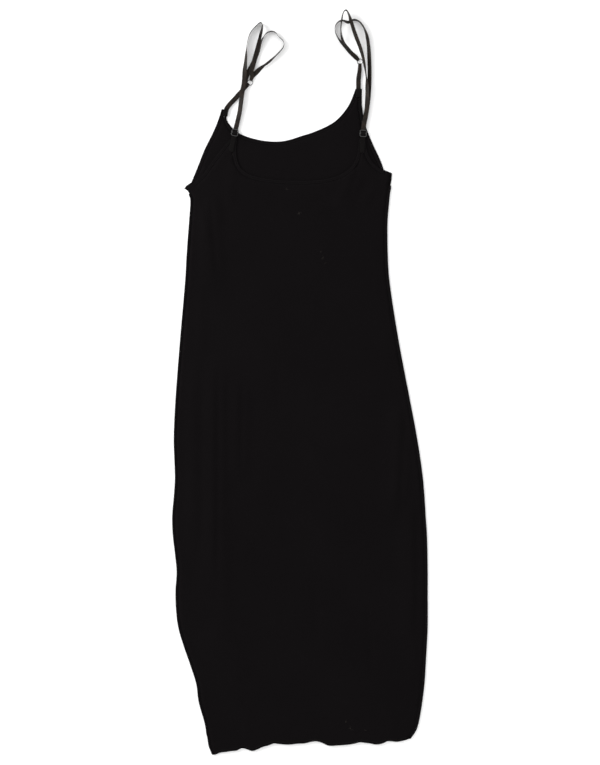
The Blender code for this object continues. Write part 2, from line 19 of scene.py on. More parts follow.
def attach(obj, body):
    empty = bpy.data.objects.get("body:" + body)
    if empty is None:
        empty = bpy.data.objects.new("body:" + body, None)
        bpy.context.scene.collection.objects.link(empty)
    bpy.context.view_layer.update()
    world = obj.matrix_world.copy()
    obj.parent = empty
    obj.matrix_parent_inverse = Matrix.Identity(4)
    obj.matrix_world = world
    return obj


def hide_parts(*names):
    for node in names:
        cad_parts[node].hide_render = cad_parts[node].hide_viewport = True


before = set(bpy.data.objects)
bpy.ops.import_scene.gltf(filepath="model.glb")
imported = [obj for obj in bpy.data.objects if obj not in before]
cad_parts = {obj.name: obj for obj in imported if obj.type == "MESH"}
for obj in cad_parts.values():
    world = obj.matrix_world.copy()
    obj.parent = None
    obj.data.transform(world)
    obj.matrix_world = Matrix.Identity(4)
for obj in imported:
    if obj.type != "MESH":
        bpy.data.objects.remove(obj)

MM = 0.001
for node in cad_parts.values():
    node.data.update()
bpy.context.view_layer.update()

# %% [markdown]
# ## Camera, light and floor
#
# The photograph was taken from straight above, so the camera looks straight down. A long lens
# from two metres up keeps the edges of the dress from leaning outwards. The light is an even
# white surround with one broad soft lamp from the upper left, because black cloth shows its
# folds only where one side of them is a little brighter than the other.

# %% Set the camera over the dress
PIXEL = 1.75                # millimetres of the dress in one pixel of the photograph
IMAGE_HEIGHT = 765
LENS = 60.0
SENSOR = 36.0               # the sensor's long side
MIDDLE = (-0.26, -1.31)     # the picture's middle on the floor, in millimetres

camera_data = bpy.data.cameras.new("camera")
camera_data.lens = LENS
camera_data.sensor_width = SENSOR
camera = bpy.data.objects.new("camera", camera_data)
bpy.context.scene.collection.objects.link(camera)
reach = IMAGE_HEIGHT * PIXEL * LENS / SENSOR
camera.location = (MIDDLE[0] * MM, MIDDLE[1] * MM, reach * MM)
bpy.context.scene.camera = camera
print("camera height in metres:", round(reach * MM, 3))

# %% Light the studio and lay its floor
WORLD_LIGHT = 1.05
LAMP_POWER = 44.0
LAMP_SIZE = 1.1
FLOOR_SIZE = 12.0
FLOOR_DROP = 0.4            # millimetres from the cloth to the floor

world = bpy.data.worlds.new("white surround")
world.use_nodes = True
world.node_tree.nodes["Background"].inputs["Color"].default_value = (1.0, 1.0, 1.0, 1.0)
world.node_tree.nodes["Background"].inputs["Strength"].default_value = WORLD_LIGHT
bpy.context.scene.world = world
bpy.context.scene.view_settings.view_transform = "Standard"

lamp_data = bpy.data.lights.new("soft lamp", "AREA")
lamp_data.energy = LAMP_POWER
lamp_data.size = LAMP_SIZE
lamp = bpy.data.objects.new("soft lamp", lamp_data)
lamp.location = (-2.0, 0.9, 1.15)
lamp.rotation_euler = (-lamp.location).to_track_quat("-Z", "Y").to_euler()
bpy.context.scene.collection.objects.link(lamp)

bpy.ops.mesh.primitive_plane_add(size=FLOOR_SIZE, location=(0.0, 0.0, -FLOOR_DROP * MM))
floor = bpy.context.object
floor.name = "floor"


# %% [markdown]
# ## Tools for materials
#
# Colours are written the way a colour picker shows them, as hex values, and one function turns
# them to the linear values that Blender's sockets hold. One more function adds a node, sets it
# and links it, so that each material below reads as a list of its layers.

# %% Turn hex colours to linear ones and add nodes
def linear(hex_colour):
    """A hex colour such as #1A1918 as linear red, green, blue and alpha."""
    values = []
    for start in (1, 3, 5):
        value = int(hex_colour[start:start + 2], 16) / 255.0
        values.append(value / 12.92 if value <= 0.04045 else ((value + 0.055) / 1.055) ** 2.4)
    return (*values, 1.0)


def add(tree, kind, inputs=None, **settings):
    """A new node with its settings. An input is a value, a socket, or a node for its first socket."""
    node = tree.nodes.new(kind)
    for name, value in settings.items():
        setattr(node, name, value)
    for key, value in (inputs or {}).items():
        if isinstance(value, bpy.types.Node):
            value = value.outputs[0]
        if isinstance(value, bpy.types.NodeSocket):
            tree.links.new(value, node.inputs[key])
        else:
            node.inputs[key].default_value = value
    return node


def start_material(name, roughness, specular):
    """A material with its shader ready, and its tree."""
    material = bpy.data.materials.new(name)
    material.use_nodes = True
    shader = material.node_tree.nodes["Principled BSDF"]
    shader.inputs["Roughness"].default_value = roughness
    shader.inputs["Specular IOR Level"].default_value = specular
    return material, material.node_tree, shader


floor_material, _tree, floor_shader = start_material("white paper floor", 0.9, 0.1)
floor_shader.inputs["Base Color"].default_value = linear("#FDFDFD")
floor.data.materials.append(floor_material)
print("floor:", floor_material.name)


# %% [markdown]
# ## The jersey
#
# Viscose jersey is knitted: its face is columns of small V-shaped loops, called wales, that
# run down the garment. It is dull, because every loop points light another way, and black dye
# leaves it with under one hundredth of the light. The loops are drawn by two waves that cross,
# one across the wales and one along them that leans the other way in each half of a wale.
# A real wale is 0.6 mm wide, which no picture of a whole dress can hold, so it is drawn
# at twice that. Slow noise makes the cloth a little greyer in patches, as washing does.

# %% Make the jersey
WALE = 1.2                  # millimetres across one column of loops
COURSE = 1.0                # millimetres along one loop
LOOP_DEPTH = 0.10           # millimetres


def knit(name, dark, pale, wale, course, depth):
    """A knitted cloth: columns of loops along Y, greyer patches as washing leaves them, and a fine fuzz.
    """
    material, tree, shader = start_material(name, 0.95, 0.02)
    place = add(tree, "ShaderNodeTexCoord").outputs["Object"]
    axes = add(tree, "ShaderNodeSeparateXYZ", {0: place})
    across = add(tree, "ShaderNodeMath", {0: axes.outputs["X"], 1: 1.0 / (wale * MM)},
                 operation="MULTIPLY")
    middle = add(tree, "ShaderNodeMath", {0: across, 1: 0.5, 2: -0.5}, operation="WRAP")
    lean = add(tree, "ShaderNodeMath", {0: middle}, operation="ABSOLUTE")
    along = add(tree, "ShaderNodeMath", {0: axes.outputs["Y"], 1: 1.0 / (course * MM)},
                operation="MULTIPLY")
    phase = add(tree, "ShaderNodeMath", {0: along, 1: lean}, operation="ADD")
    turns = add(tree, "ShaderNodeMath", {0: phase, 1: math.tau}, operation="MULTIPLY")
    loops = add(tree, "ShaderNodeMath", {0: turns}, operation="SINE")
    groove = add(tree, "ShaderNodeMath", {0: lean, 1: math.tau}, operation="MULTIPLY")
    wales = add(tree, "ShaderNodeMath", {0: groove}, operation="COSINE")
    height = add(tree, "ShaderNodeMath", {0: loops, 1: 0.35, 2: wales}, operation="MULTIPLY_ADD")
    fuzz = add(tree, "ShaderNodeTexNoise", {"Vector": place, "Scale": 900.0, "Detail": 2.0})
    rough = add(tree, "ShaderNodeMath", {0: fuzz, 1: 1.2, 2: height}, operation="MULTIPLY_ADD")
    bump = add(tree, "ShaderNodeBump", {"Strength": 0.6, "Distance": depth * MM, "Height": rough})
    patches = add(tree, "ShaderNodeTexNoise", {"Vector": place, "Scale": 7.0, "Detail": 4.0,
                                               "Roughness": 0.6})
    tone = add(tree, "ShaderNodeMath", {0: fuzz, 1: 0.8, 2: patches}, operation="MULTIPLY_ADD")
    share = add(tree, "ShaderNodeMapRange", {"Value": tone, "From Min": 0.5, "From Max": 1.3})
    colour = add(tree, "ShaderNodeMix", {"Factor": share, "A": linear(dark), "B": linear(pale)},
                 data_type="RGBA")
    tree.links.new(colour.outputs["Result"], shader.inputs["Base Color"])
    tree.links.new(bump.outputs["Normal"], shader.inputs["Normal"])
    shader.inputs["Sheen Weight"].default_value = 0.008
    shader.inputs["Sheen Roughness"].default_value = 0.5
    return material


jersey = knit("black viscose jersey, weft knitted", "#0C0A0B", "#0F0D0E", WALE, COURSE, LOOP_DEPTH)
print("jersey:", jersey.name, "wale", WALE, "mm")


# %% [markdown]
# ## Satin elastic, thread and coated metal
#
# The straps are woven elastic with a satin face: threads run along the strap and float over
# the ones that cross it, so it is smoother and greyer than the jersey and gets a soft shine.
# Its two edges are ridged, and its back is matt, which shows on the tail that is sewn down below
# each slider. The pattern follows the strap, so it reads the strap's own UV map, which holds
# millimetres along and across. The rings and sliders are wire and cast metal with
# a glossy black coat: a coat is a plastic, so it isn't metallic in Blender's sense.

# %% Make the satin elastic
RIB = 0.9                   # millimetres between the threads that run along the strap
PICK = 0.7                  # millimetres between the threads that cross it
MATT_END = 41.0             # the elastic shows its matt back from its sewn end up to here
MATT_BLEND = 3.0            # and turns to its satin face this far before and after it
MATT_BACK = "#0C0A0A"
EDGE_RIDGE = (1.2, 0.7)     # the edge's ridge rises from the first to the second of these, from the edge


def satin(name, dark, pale, width):
    """Woven elastic: long floats, fine cross threads, a ridge along each edge, and painted light and
    shade in patches along it.
    """
    material, tree, shader = start_material(name, 0.42, 0.12)
    place = add(tree, "ShaderNodeUVMap", uv_map="strip")
    axes = add(tree, "ShaderNodeSeparateXYZ", {0: place})
    ribs = add(tree, "ShaderNodeMath", {0: axes.outputs["Y"], 1: math.tau / RIB}, operation="MULTIPLY")
    rib_wave = add(tree, "ShaderNodeMath", {0: ribs}, operation="COSINE")
    picks = add(tree, "ShaderNodeMath", {0: axes.outputs["X"], 1: math.tau / PICK}, operation="MULTIPLY")
    lean = add(tree, "ShaderNodeMath", {0: ribs, 1: 0.5, 2: picks}, operation="MULTIPLY_ADD")
    pick_wave = add(tree, "ShaderNodeMath", {0: lean}, operation="SINE")
    weave = add(tree, "ShaderNodeMath", {0: pick_wave, 1: 0.5, 2: rib_wave}, operation="MULTIPLY_ADD")
    away = add(tree, "ShaderNodeMath", {0: axes.outputs["Y"]}, operation="ABSOLUTE")
    edge = add(tree, "ShaderNodeMapRange", {"Value": away, "From Min": width / 2 - EDGE_RIDGE[0],
                                            "From Max": width / 2 - EDGE_RIDGE[1]},
               interpolation_type="SMOOTHSTEP")
    relief = add(tree, "ShaderNodeMath", {0: edge, 1: 2.0, 2: weave}, operation="MULTIPLY_ADD")
    bump = add(tree, "ShaderNodeBump", {"Strength": 0.5, "Distance": 0.06 * MM, "Height": relief})
    # Slow noise along the strap paints light and shade in patches, in place of the shading of its twists
    # and bends.
    painted_shade_patches = add(tree, "ShaderNodeTexNoise", {"Vector": place, "Scale": 0.11, "Detail": 3.0})
    tone = add(tree, "ShaderNodeMath", {0: pick_wave, 1: 0.12, 2: painted_shade_patches}, operation="MULTIPLY_ADD")
    share = add(tree, "ShaderNodeMapRange", {"Value": tone, "From Min": 0.38, "From Max": 0.66})
    colour = add(tree, "ShaderNodeMix", {"Factor": share, "A": linear(dark), "B": linear(pale)},
                 data_type="RGBA")
    face = add(tree, "ShaderNodeMapRange", {"Value": axes.outputs["X"], "From Min": MATT_END - MATT_BLEND,
                                            "From Max": MATT_END + MATT_BLEND})
    faced = add(tree, "ShaderNodeMix", {"Factor": face, "A": linear(MATT_BACK),
                                        "B": colour.outputs["Result"]}, data_type="RGBA")
    shine = add(tree, "ShaderNodeMapRange", {"Value": face, "To Min": 0.03, "To Max": 0.12})
    tree.links.new(faced.outputs["Result"], shader.inputs["Base Color"])
    tree.links.new(shine.outputs[0], shader.inputs["Specular IOR Level"])
    tree.links.new(bump.outputs["Normal"], shader.inputs["Normal"])
    shader.inputs["Sheen Weight"].default_value = 0.03
    return material


STRAP_WIDTH = 8.0
elastic = satin("black satin elastic, woven", "#0F0C09", "#261D17", STRAP_WIDTH)
print("elastic:", elastic.name)

# %% Make the binding, thread, coats and lint
binding_cloth = knit("black jersey binding, folded and stitched", "#0C0A0B", "#0F0D0E", WALE, COURSE,
                     LOOP_DEPTH)


def plain(name, dark, pale, roughness, specular, scale):
    """One colour with a soft change of tone and a fine unevenness."""
    material, tree, shader = start_material(name, roughness, specular)
    place = add(tree, "ShaderNodeTexCoord").outputs["Object"]
    cloud = add(tree, "ShaderNodeTexNoise", {"Vector": place, "Scale": scale, "Detail": 3.0})
    share = add(tree, "ShaderNodeMapRange", {"Value": cloud, "From Min": 0.35, "From Max": 0.65})
    colour = add(tree, "ShaderNodeMix", {"Factor": share, "A": linear(dark), "B": linear(pale)},
                 data_type="RGBA")
    tree.links.new(colour.outputs["Result"], shader.inputs["Base Color"])
    bump = add(tree, "ShaderNodeBump", {"Strength": 0.2, "Distance": 0.05 * MM, "Height": cloud})
    tree.links.new(bump.outputs["Normal"], shader.inputs["Normal"])
    return material


thread = plain("black polyester sewing thread, twisted", "#0F0E0E", "#191817", 0.6, 0.08, 700.0)
hem_thread = plain("black textured overlock thread", "#141313", "#232120", 0.7, 0.12, 700.0)
coat = plain("black enamel on a cast slider", "#131212", "#1E1C1C", 0.22, 0.55, 260.0)
coat.node_tree.nodes["Principled BSDF"].inputs["Coat Weight"].default_value = 0.3
ring_coat = plain("black nylon coat on a wire ring", "#0C0A0B", "#131211", 0.35, 0.15, 260.0)
lint_fibre = plain("pale cotton lint, loose", "#35322F", "#55504B", 0.9, 0.1, 900.0)
print("trimmings:", thread.name, hem_thread.name, coat.name, ring_coat.name, lint_fibre.name)

# %% [markdown]
# ## Outlines from the model
#
# A pattern cutter keeps one paper outline for each panel. Here the model is that paper: the
# faces of a solid that look up form a skin, and the line round the skin is the panel's cut edge.
# It is read once, cut into runs at its corners, such as hem, side seam, armhole and neckline,
# and each run is smoothed, because the solid has only a point every few centimetres.

# %% Read a solid's outline and smooth it
MERGE = 0.000002
CORNER_TURN = 39.0          # degrees of outward turn that make a corner


def skin_outline(node, facing, turned):
    """Points round the faces of a solid that look up (facing 1) or down (-1), in millimetres."""
    shape = bmesh.new()
    shape.from_mesh(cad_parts[node].data)
    bmesh.ops.remove_doubles(shape, verts=shape.verts, dist=MERGE)
    onward = {}
    for face in shape.faces:
        for loop in face.loops:
            other = loop.link_loop_radial_next.face
            if face.normal.z * facing > turned >= other.normal.z * facing:
                onward[loop.vert.index] = loop.link_loop_next.vert.index
    shape.verts.ensure_lookup_table()
    start = min(onward, key=lambda i: shape.verts[i].co.x + shape.verts[i].co.y)
    order = [start]
    while onward[order[-1]] != start:
        order.append(onward[order[-1]])
    points = [shape.verts[i].co / MM for i in order]
    shape.free()
    return points if facing > 0 else points[::-1]


def runs_of(outline, rounded=()):
    """The outline's smooth runs between its corners and the rounded corners named, in order."""
    count = len(outline)
    corners = set()
    for place in rounded:
        corners.add(min(range(count), key=lambda i: (outline[i].xy - Vector(place)).length))
    for i in range(count):
        before = (outline[i] - outline[i - 1]).xy
        after = (outline[(i + 1) % count] - outline[i]).xy
        if math.degrees(after.angle_signed(before)) > CORNER_TURN:
            corners.add(i)
    corners = sorted(corners)
    runs = []
    for a, b in zip(corners, corners[1:] + [corners[0] + count]):
        runs.append([outline[i % count] for i in range(a, b + 1)])
    return runs


def hermite(a, slope_a, b, slope_b, t):
    """A cubic from a to b with the slopes given at both ends."""
    start = a * (2 * t ** 3 - 3 * t ** 2 + 1) + slope_a * (t ** 3 - 2 * t ** 2 + t)
    return start + b * (3 * t ** 2 - 2 * t ** 3) + slope_b * (t ** 3 - t ** 2)


def smooth_path(knots, step):
    """Points on a smooth curve through the knots: each with its segment and its share of it."""
    last = len(knots) - 1
    ways = [(knots[min(i + 1, last)] - knots[max(i - 1, 0)]).normalized() for i in range(last + 1)]
    path = [(knots[0], 0, 0.0)]
    for i in range(last):
        length = (knots[i + 1] - knots[i]).length
        pieces = max(1, round(length / step))
        for j in range(1, pieces + 1):
            t = j / pieces
            point = hermite(knots[i], ways[i] * length, knots[i + 1], ways[i + 1] * length, t)
            path.append((point, i, t))
    return path


def smoothed(run, step):
    """A run as a smooth line with points about a step apart."""
    return [place for place, _i, _t in smooth_path(run, step)]


def evenly(points, pieces):
    """The same line in equal steps."""
    lengths = [0.0]
    for a, b in zip(points, points[1:]):
        lengths.append(lengths[-1] + (b - a).length)
    result = []
    place = 0
    for k in range(pieces + 1):
        wanted = lengths[-1] * k / pieces
        while place < len(points) - 2 and lengths[place + 1] < wanted:
            place += 1
        share = (wanted - lengths[place]) / (lengths[place + 1] - lengths[place])
        result.append(points[place].lerp(points[place + 1], max(0.0, min(1.0, share))))
    return result


def run_near(runs, x, y):
    """The run whose middle lies nearest to a place."""
    return min(runs, key=lambda run: (evenly(run, 2)[1].xy - Vector((x, y))).length)


HEM_CORNER = (193, -624)    # the right corner of the hem is rounded, in millimetres
back_runs = runs_of(skin_outline("back_panel", 1, 0.5), [HEM_CORNER])
front_runs = runs_of(skin_outline("front_panel", -1, 0.97), [HEM_CORNER])
for label, runs in (("back", back_runs), ("front", front_runs)):
    print(label, "runs:", [(len(run), round(run[0].x), round(run[0].y)) for run in runs])

# %% [markdown]
# ## Folds
#
# Cloth that is laid down by hand keeps soft ridges where it was pulled, and lies flat between
# them. Each one here is a line from one place to another with a rise and a half width, set
# from the photograph: long ones down the left side and the skirt, short ones that radiate
# from the bust and the underarms. A ridge fades out at both ends and near the side seams.
# The same list, turned over and made shallow, gives the hidden front its creases.

# %% Place the folds
# Name, top across, top height, bottom across, bottom height, rise, half width, in millimetres
FOLDS = [
    ("long crease left", -152, 60, -149, -390, 4.5, 17),
    ("second crease left", -108, 20, -110, -190, 3.0, 15),
    ("outer ridge left", -186, 80, -188, -340, 2.5, 15),
    ("bust fold left", -166, 345, -150, 140, 3.5, 16),
    ("hip fold right", 176, -20, 166, -250, 4.0, 16),
    ("thigh fold right", 194, -180, 194, -470, 3.0, 15),
    ("drag right", 96, 385, 70, 290, 2.5, 14),
    ("lower diagonal left", -160, -420, -90, -530, 3.0, 18),
    ("middle of the skirt", 30, -60, 60, -560, 2.0, 42),
    ("bust swell", -20, 330, 5, 60, 2.0, 60),
]
SMALL_FOLDS = [
    ("underarm pull left", -178, 322, -162, 236, 1.6, 7),
    ("underarm pull left, inner", -150, 330, -139, 268, 1.1, 7),
    ("below the left slider", -118, 392, -124, 300, 1.4, 8),
    ("rib crease left", -178, 190, -172, 40, 1.2, 9),
    ("beside the long crease", -136, 30, -130, -210, 1.3, 9),
    ("knee crease left", -128, -250, -134, -430, 1.2, 10),
    ("knee diagonal left", -186, -440, -128, -512, 1.5, 9),
    ("hem diagonal left", -150, -520, -96, -566, 1.2, 9),
    ("hem crease left", -96, -560, -92, -628, 1.0, 8),
    ("hem crease middle", 12, -590, 20, -630, 0.9, 10),
    ("hem crease right", 92, -580, 100, -630, 0.9, 9),
    ("corner crease right", 150, -560, 168, -618, 1.3, 9),
    ("seam pull right", 200, -300, 204, -400, 1.2, 8),
    ("thigh pull right", 206, -430, 200, -540, 1.3, 8),
    ("hip pull right", 188, -90, 196, -190, 1.1, 8),
    ("waist pull right", 148, 100, 158, 10, 1.2, 9),
    ("rib pull right", 138, 250, 140, 140, 1.1, 9),
    ("bust drag right, low", 78, 318, 16, 296, 1.2, 8),
    ("bust drag right, high", 108, 352, 62, 318, 1.1, 7),
    ("underarm fan right", 140, 352, 100, 300, 1.3, 8),
    ("bust crease middle", -4, 348, 2, 270, 0.8, 9),
    ("belly wave left", -74, 90, -60, -110, 1.1, 22),
    ("belly wave right", 88, 60, 96, -140, 1.1, 24),
    ("skirt wave left", -46, -210, -34, -470, 1.2, 26),
    ("skirt wave right", 118, -240, 128, -480, 1.3, 24),
]
# The sharper lines between the ridges: the same columns, with a depth in place of the rise
CREASES = [
    ("long dark line", -143, 52, -145, -372, 2.2, 4),
    ("second line", -101, 14, -104, -168, 1.5, 4),
    ("bust line left", -158, 322, -144, 172, 1.6, 4),
    ("underarm line left", -172, 330, -160, 262, 0.9, 3),
    ("stroke under the neckline", -106, 374, -82, 361, 0.8, 4),
    ("drag line, lower", 8, 309, 78, 284, 1.0, 4),
    ("drag line, upper", 20, 322, 84, 300, 0.8, 4),
    ("strap line right", 104, 384, 82, 312, 1.3, 4),
    ("hip line right", 184, -36, 173, -240, 1.8, 4),
    ("thigh line right", 203, -210, 202, -452, 1.5, 4),
    ("hip line, inner", 160, -80, 154, -210, 0.9, 5),
    ("knee diagonal", -150, -448, -90, -500, 1.4, 4),
    ("knee diagonal, lower", -138, -480, -84, -536, 1.0, 5),
    ("belly line", -40, 40, -34, -70, 0.6, 6),
    ("skirt line middle", 24, -330, 30, -470, 0.7, 6),
    ("skirt line right", 118, -380, 126, -520, 0.9, 5),
    ("waist line", 60, 150, 96, 96, 0.7, 5),
]
CURL = 1.4                  # how far the bare hem rolls up in places
CURL_REACH = 9.0
CURL_WAVE = 23.0            # millimetres from one roll of the hem to the next, more or less
SMALL_SHARE = 0.8           # how much of each small fold's rise is kept
FADE = 4.0                  # a ridge rises over one fourth of its length at each end
BELLY = 0.7                 # how far the back stands off the front away from its edges
BELLY_EASE = 70.0
BELLY_TOP = 372.0
SEAM_INSET = 5.0
FOLD_EASE = 26.0
WALL = 1.2                  # thickness of the jersey, as in the model
GAP = 0.3                   # room between the model's solids
BINDING = 1.6               # thickness of a binding
BACK_LOW = WALL + GAP
UNDERARMS = ((-186, 356), (150, 370))
UNDERARM_REACH = 28.0


def smooth(value):
    """A soft step from 0 to 1, for a number or an array."""
    value = np.clip(value, 0.0, 1.0)
    return value * value * (3.0 - 2.0 * value)


def ridges(x, y, folds):
    """Height of the highest ridge at each place, for arrays of x and y."""
    rise = np.zeros_like(x)
    for _name, x0, y0, x1, y1, height, half in folds:
        length_squared = (x1 - x0) ** 2 + (y1 - y0) ** 2
        share = np.clip(((x - x0) * (x1 - x0) + (y - y0) * (y1 - y0)) / length_squared, 0.0, 1.0)
        off = np.hypot(x - x0 - share * (x1 - x0), y - y0 - share * (y1 - y0))
        ends = smooth(share * FADE) * smooth((1.0 - share) * FADE)
        rise = np.maximum(rise, height * ends * smooth(1.0 - off / (2.0 * half)))
    return rise


def side_lines(runs):
    """The two side seams of a panel as height and across, for reading the edges at any height."""
    sides = []
    for x, y in ((-205, -150), (205, -150)):
        run = sorted(smoothed(run_near(runs, x, y), 10.0), key=lambda p: p.y)
        sides.append((np.array([p.y for p in run]), np.array([p.x for p in run])))
    return sides


def lie(x, y, sides, folds, small_folds):
    """How far the folds lift a panel, none at its side seams."""
    (left_y, left_x), (right_y, right_x) = sides
    clear = np.minimum(x - np.interp(y, left_y, left_x), np.interp(y, right_y, right_x) - x)
    total = ridges(x, y, folds) + ridges(x, y, small_folds) * SMALL_SHARE
    belly = BELLY * smooth(clear / BELLY_EASE) * smooth((BELLY_TOP - y) / BELLY_EASE)
    rise = total * smooth(clear / FOLD_EASE) + belly
    return np.maximum(rise - ridges(x, y, CREASES), 0.0)


BACK_SIDES = side_lines(back_runs)
FRONT_SIDES = side_lines(front_runs)
hem_line = sorted(smoothed(run_near(back_runs, 0, -640), 4.0), key=lambda p: p.x)
HEM_X = np.array([p.x for p in hem_line])
HEM_Y = np.array([p.y for p in hem_line])


def hem_curl(x, y):
    """How far the knit rolls up at its bare edge, in uneven waves along it."""
    rise = y - np.interp(x, HEM_X, HEM_Y)
    turn = x / CURL_WAVE * math.tau
    waves = 0.5 + 0.3 * np.sin(turn) + 0.2 * np.sin(turn / 2.7 + 1.3)
    return CURL * waves * smooth(1.0 - rise / CURL_REACH)


def back_level(x, y):
    """Underside of the back, raised a little over the front's bindings at the underarms."""
    near = np.min([np.hypot(x - cx, y - cy) for cx, cy in UNDERARMS], axis=0)
    lift = (BINDING - WALL) * smooth(2.0 - near / UNDERARM_REACH)
    return BACK_LOW + lift + lie(x, y, BACK_SIDES, FOLDS, SMALL_FOLDS) + hem_curl(x, y)


def back_middle(x, y):
    """The middle of the back's wall."""
    return back_level(x, y) + WALL / 2


print("folds:", len(FOLDS), "large,", len(SMALL_FOLDS), "small and", len(CREASES), "creases")

# %% [markdown]
# ## Panels
#
# The back and the front are each one piece of jersey. A panel is made as a sheet of nearly even
# triangles inside its outline, lifted by the folds, and Solidify gives it the wall. The front is
# wider than the back, because the side seams were pressed towards the back: so its two sides
# roll up and over in a half circle and end at the seam, 5 mm inside the silhouette.

# %% Take the lines of the bindings first, because the panels end at them
BINDING_STEP = 2.5
BINDING_CROWN = 0.12
JOIN = 0.04                 # a binding is drawn up to this close to its panel
END_JOIN = 0.14             # and its cut ends up to this close to what they meet
BINDING_NAMES = ("arm_left", "neck", "arm_right")


def binding_sections(node):
    """Sections across a binding, from the two long runs of its outline."""
    runs = sorted(runs_of(skin_outline(node, 1, 0.5)), key=lambda run: -sum(
        (b - a).length for a, b in zip(run, run[1:])))[:2]
    first, second = runs[0], runs[1][::-1]
    pieces = max(8, round(sum((b - a).length for a, b in zip(first, first[1:])) / BINDING_STEP))
    down = Vector((0.0, 0.0, -BINDING / 2))
    sections = []
    for a, b in zip(evenly(smoothed(first, 1.0), pieces), evenly(smoothed(second, 1.0), pieces)):
        wider = (a - b).normalized() * (GAP - JOIN)
        left, right = a + down + wider, b + down - wider
        sections.append([left, (left + right) / 2, right])
    for end, inner in ((0, 1), (-1, -2)):
        longer = (sections[end][1] - sections[inner][1]).normalized() * (GAP - END_JOIN)
        sections[end] = [place + longer for place in sections[end]]
    return sections


binding_rows = {}
for side in ("front", "back"):
    for part in BINDING_NAMES:
        node = side + "_binding_" + part
        binding_rows[node] = binding_sections(node)
print("binding sections:", {node: len(rows) for node, rows in binding_rows.items()})


# %% Fill an outline with an even sheet
OUTLINE_STEP = 4.0
SHEET_STEP = 5.0
ON_LINE = 2.0               # a run whose middle is this near to a binding's line lies along it
OFF_LINE = 0.8              # and its end points farther from the line than this are kept
MIN_EDGE = 0.2


def inside(places, outline, clear):
    """Which of the places lie inside an outline and at least clear of it."""
    crossings = np.zeros(len(places), int)
    nearest = np.full(len(places), 1e9)
    for a, b in zip(outline, np.roll(outline, -1, axis=0)):
        way = b - a
        share = np.clip(((places - a) @ way) / (way @ way), 0.0, 1.0)
        nearest = np.minimum(nearest, np.hypot(*(places - a - share[:, None] * way).T))
        if a[1] != b[1]:
            spans = (a[1] > places[:, 1]) != (b[1] > places[:, 1])
            crossings += spans & (places[:, 0] < a[0] + (places[:, 1] - a[1]) / (b[1] - a[1]) * way[0])
    return (crossings % 2 == 1) & (nearest > clear)


def even_points(outline, step):
    """Points inside an outline, in staggered rows that make triangles with equal sides."""
    low, high = outline.min(0), outline.max(0)
    rows = []
    for j, y in enumerate(np.arange(low[1], high[1], step * 0.866)):
        xs = np.arange(low[0] + step * 0.5 * (j % 2), high[0], step)
        rows.append(np.column_stack([xs, np.full(len(xs), y)]))
    places = np.vstack(rows)
    return places[inside(places, outline, step * 0.55)]


def along_binding(run, side):
    """A panel's run beside a binding, moved to the binding's own inner line, or None elsewhere."""
    middle = evenly(run, 2)[1].xy
    for node, rows in binding_rows.items():
        if not node.startswith(side) or len(run) < 4:
            continue
        for inner, outer in ((0, 2), (2, 0)):
            line = [row[inner] + (row[inner] - row[outer]).normalized() * JOIN for row in rows]
            if min((place.xy - middle).length for place in line) < ON_LINE:
                if (line[0] - run[0]).xy.length > (line[-1] - run[0]).xy.length:
                    line.reverse()
                close = evenly(line, 4 * len(line))
                ends = [[place for place in end if min((place - p).xy.length for p in close) > OFF_LINE]
                        for end in (run[:3], run[-3:])]
                return ends[0] + line + ends[1]
    return None


def fill(runs, level, side):
    """A sheet inside the runs' outline, with its heights from level(x, y), and its edge's points."""
    edge = []
    for run in runs:
        edge += along_binding(run, side) or smoothed(run, OUTLINE_STEP)[:-1]
    edge = [a for a, b in zip(edge, edge[1:] + edge[:1]) if (a - b).xy.length > MIN_EDGE]
    outline = np.array([place.xy for place in edge])
    places = np.vstack([outline, even_points(outline, SHEET_STEP)])
    ring = [(i, (i + 1) % len(edge)) for i in range(len(edge))]
    flat, _e, faces, _v, _ee, _f = delaunay_2d_cdt([Vector(p) for p in places], ring, [], 1, 0.0001)
    across = np.array([p.x for p in flat])
    along = np.array([p.y for p in flat])
    heights = level(across, along)
    sheet = bmesh.new()
    verts = [sheet.verts.new((x, y, z)) for x, y, z in zip(across, along, heights)]
    for face in faces:
        sheet.faces.new([verts[i] for i in face])
    return sheet, outline


def finish_piece(name, mesh, material=None, nodes=()):
    """The mesh as a piece that rides with the dress and stands for CAD nodes."""
    if material:
        mesh.materials.append(material)
        mesh.shade_smooth()
    piece = bpy.data.objects.new(name, mesh)
    bpy.context.scene.collection.objects.link(piece)
    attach(piece, "root")
    if nodes:
        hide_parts(*nodes)
    return piece


def as_mesh(name, shape):
    """A shape drawn in millimetres as a mesh in metres."""
    bmesh.ops.scale(shape, vec=(MM, MM, MM), verts=shape.verts)
    mesh = bpy.data.meshes.new(name)
    shape.to_mesh(mesh)
    shape.free()
    return mesh


def wall_sheet(name, sheet, material, node):
    """A sheet in millimetres as cloth with a wall."""
    bmesh.ops.recalc_face_normals(sheet, faces=sheet.faces)
    if sum(face.normal.z * face.calc_area() for face in sheet.faces) < 0:
        bmesh.ops.reverse_faces(sheet, faces=sheet.faces)
    mesh = as_mesh(name, sheet)
    piece = finish_piece(name, mesh, material, [node])
    wall = piece.modifiers.new("wall", "SOLIDIFY")
    wall.thickness = WALL * MM
    wall.offset = 0.0
    print(name, len(mesh.polygons), "triangles before its wall")
    return piece


# %% Lay the back panel
back_sheet, back_outline = fill(back_runs, back_middle, "back")
back_panel = wall_sheet("back_cloth", back_sheet, jersey, "back_panel")

# %% Lay the front panel and roll its sides over
ROLL = BACK_LOW / 2         # radius of the roll's middle line
ROLL_STEPS = 8
ROLL_TOPS = {-1: 329.0, 1: 344.0}   # the turned edge ends here, below the seams' flat tails
FRONT_SHARE = 0.13          # the front's creases are this part of the back's folds


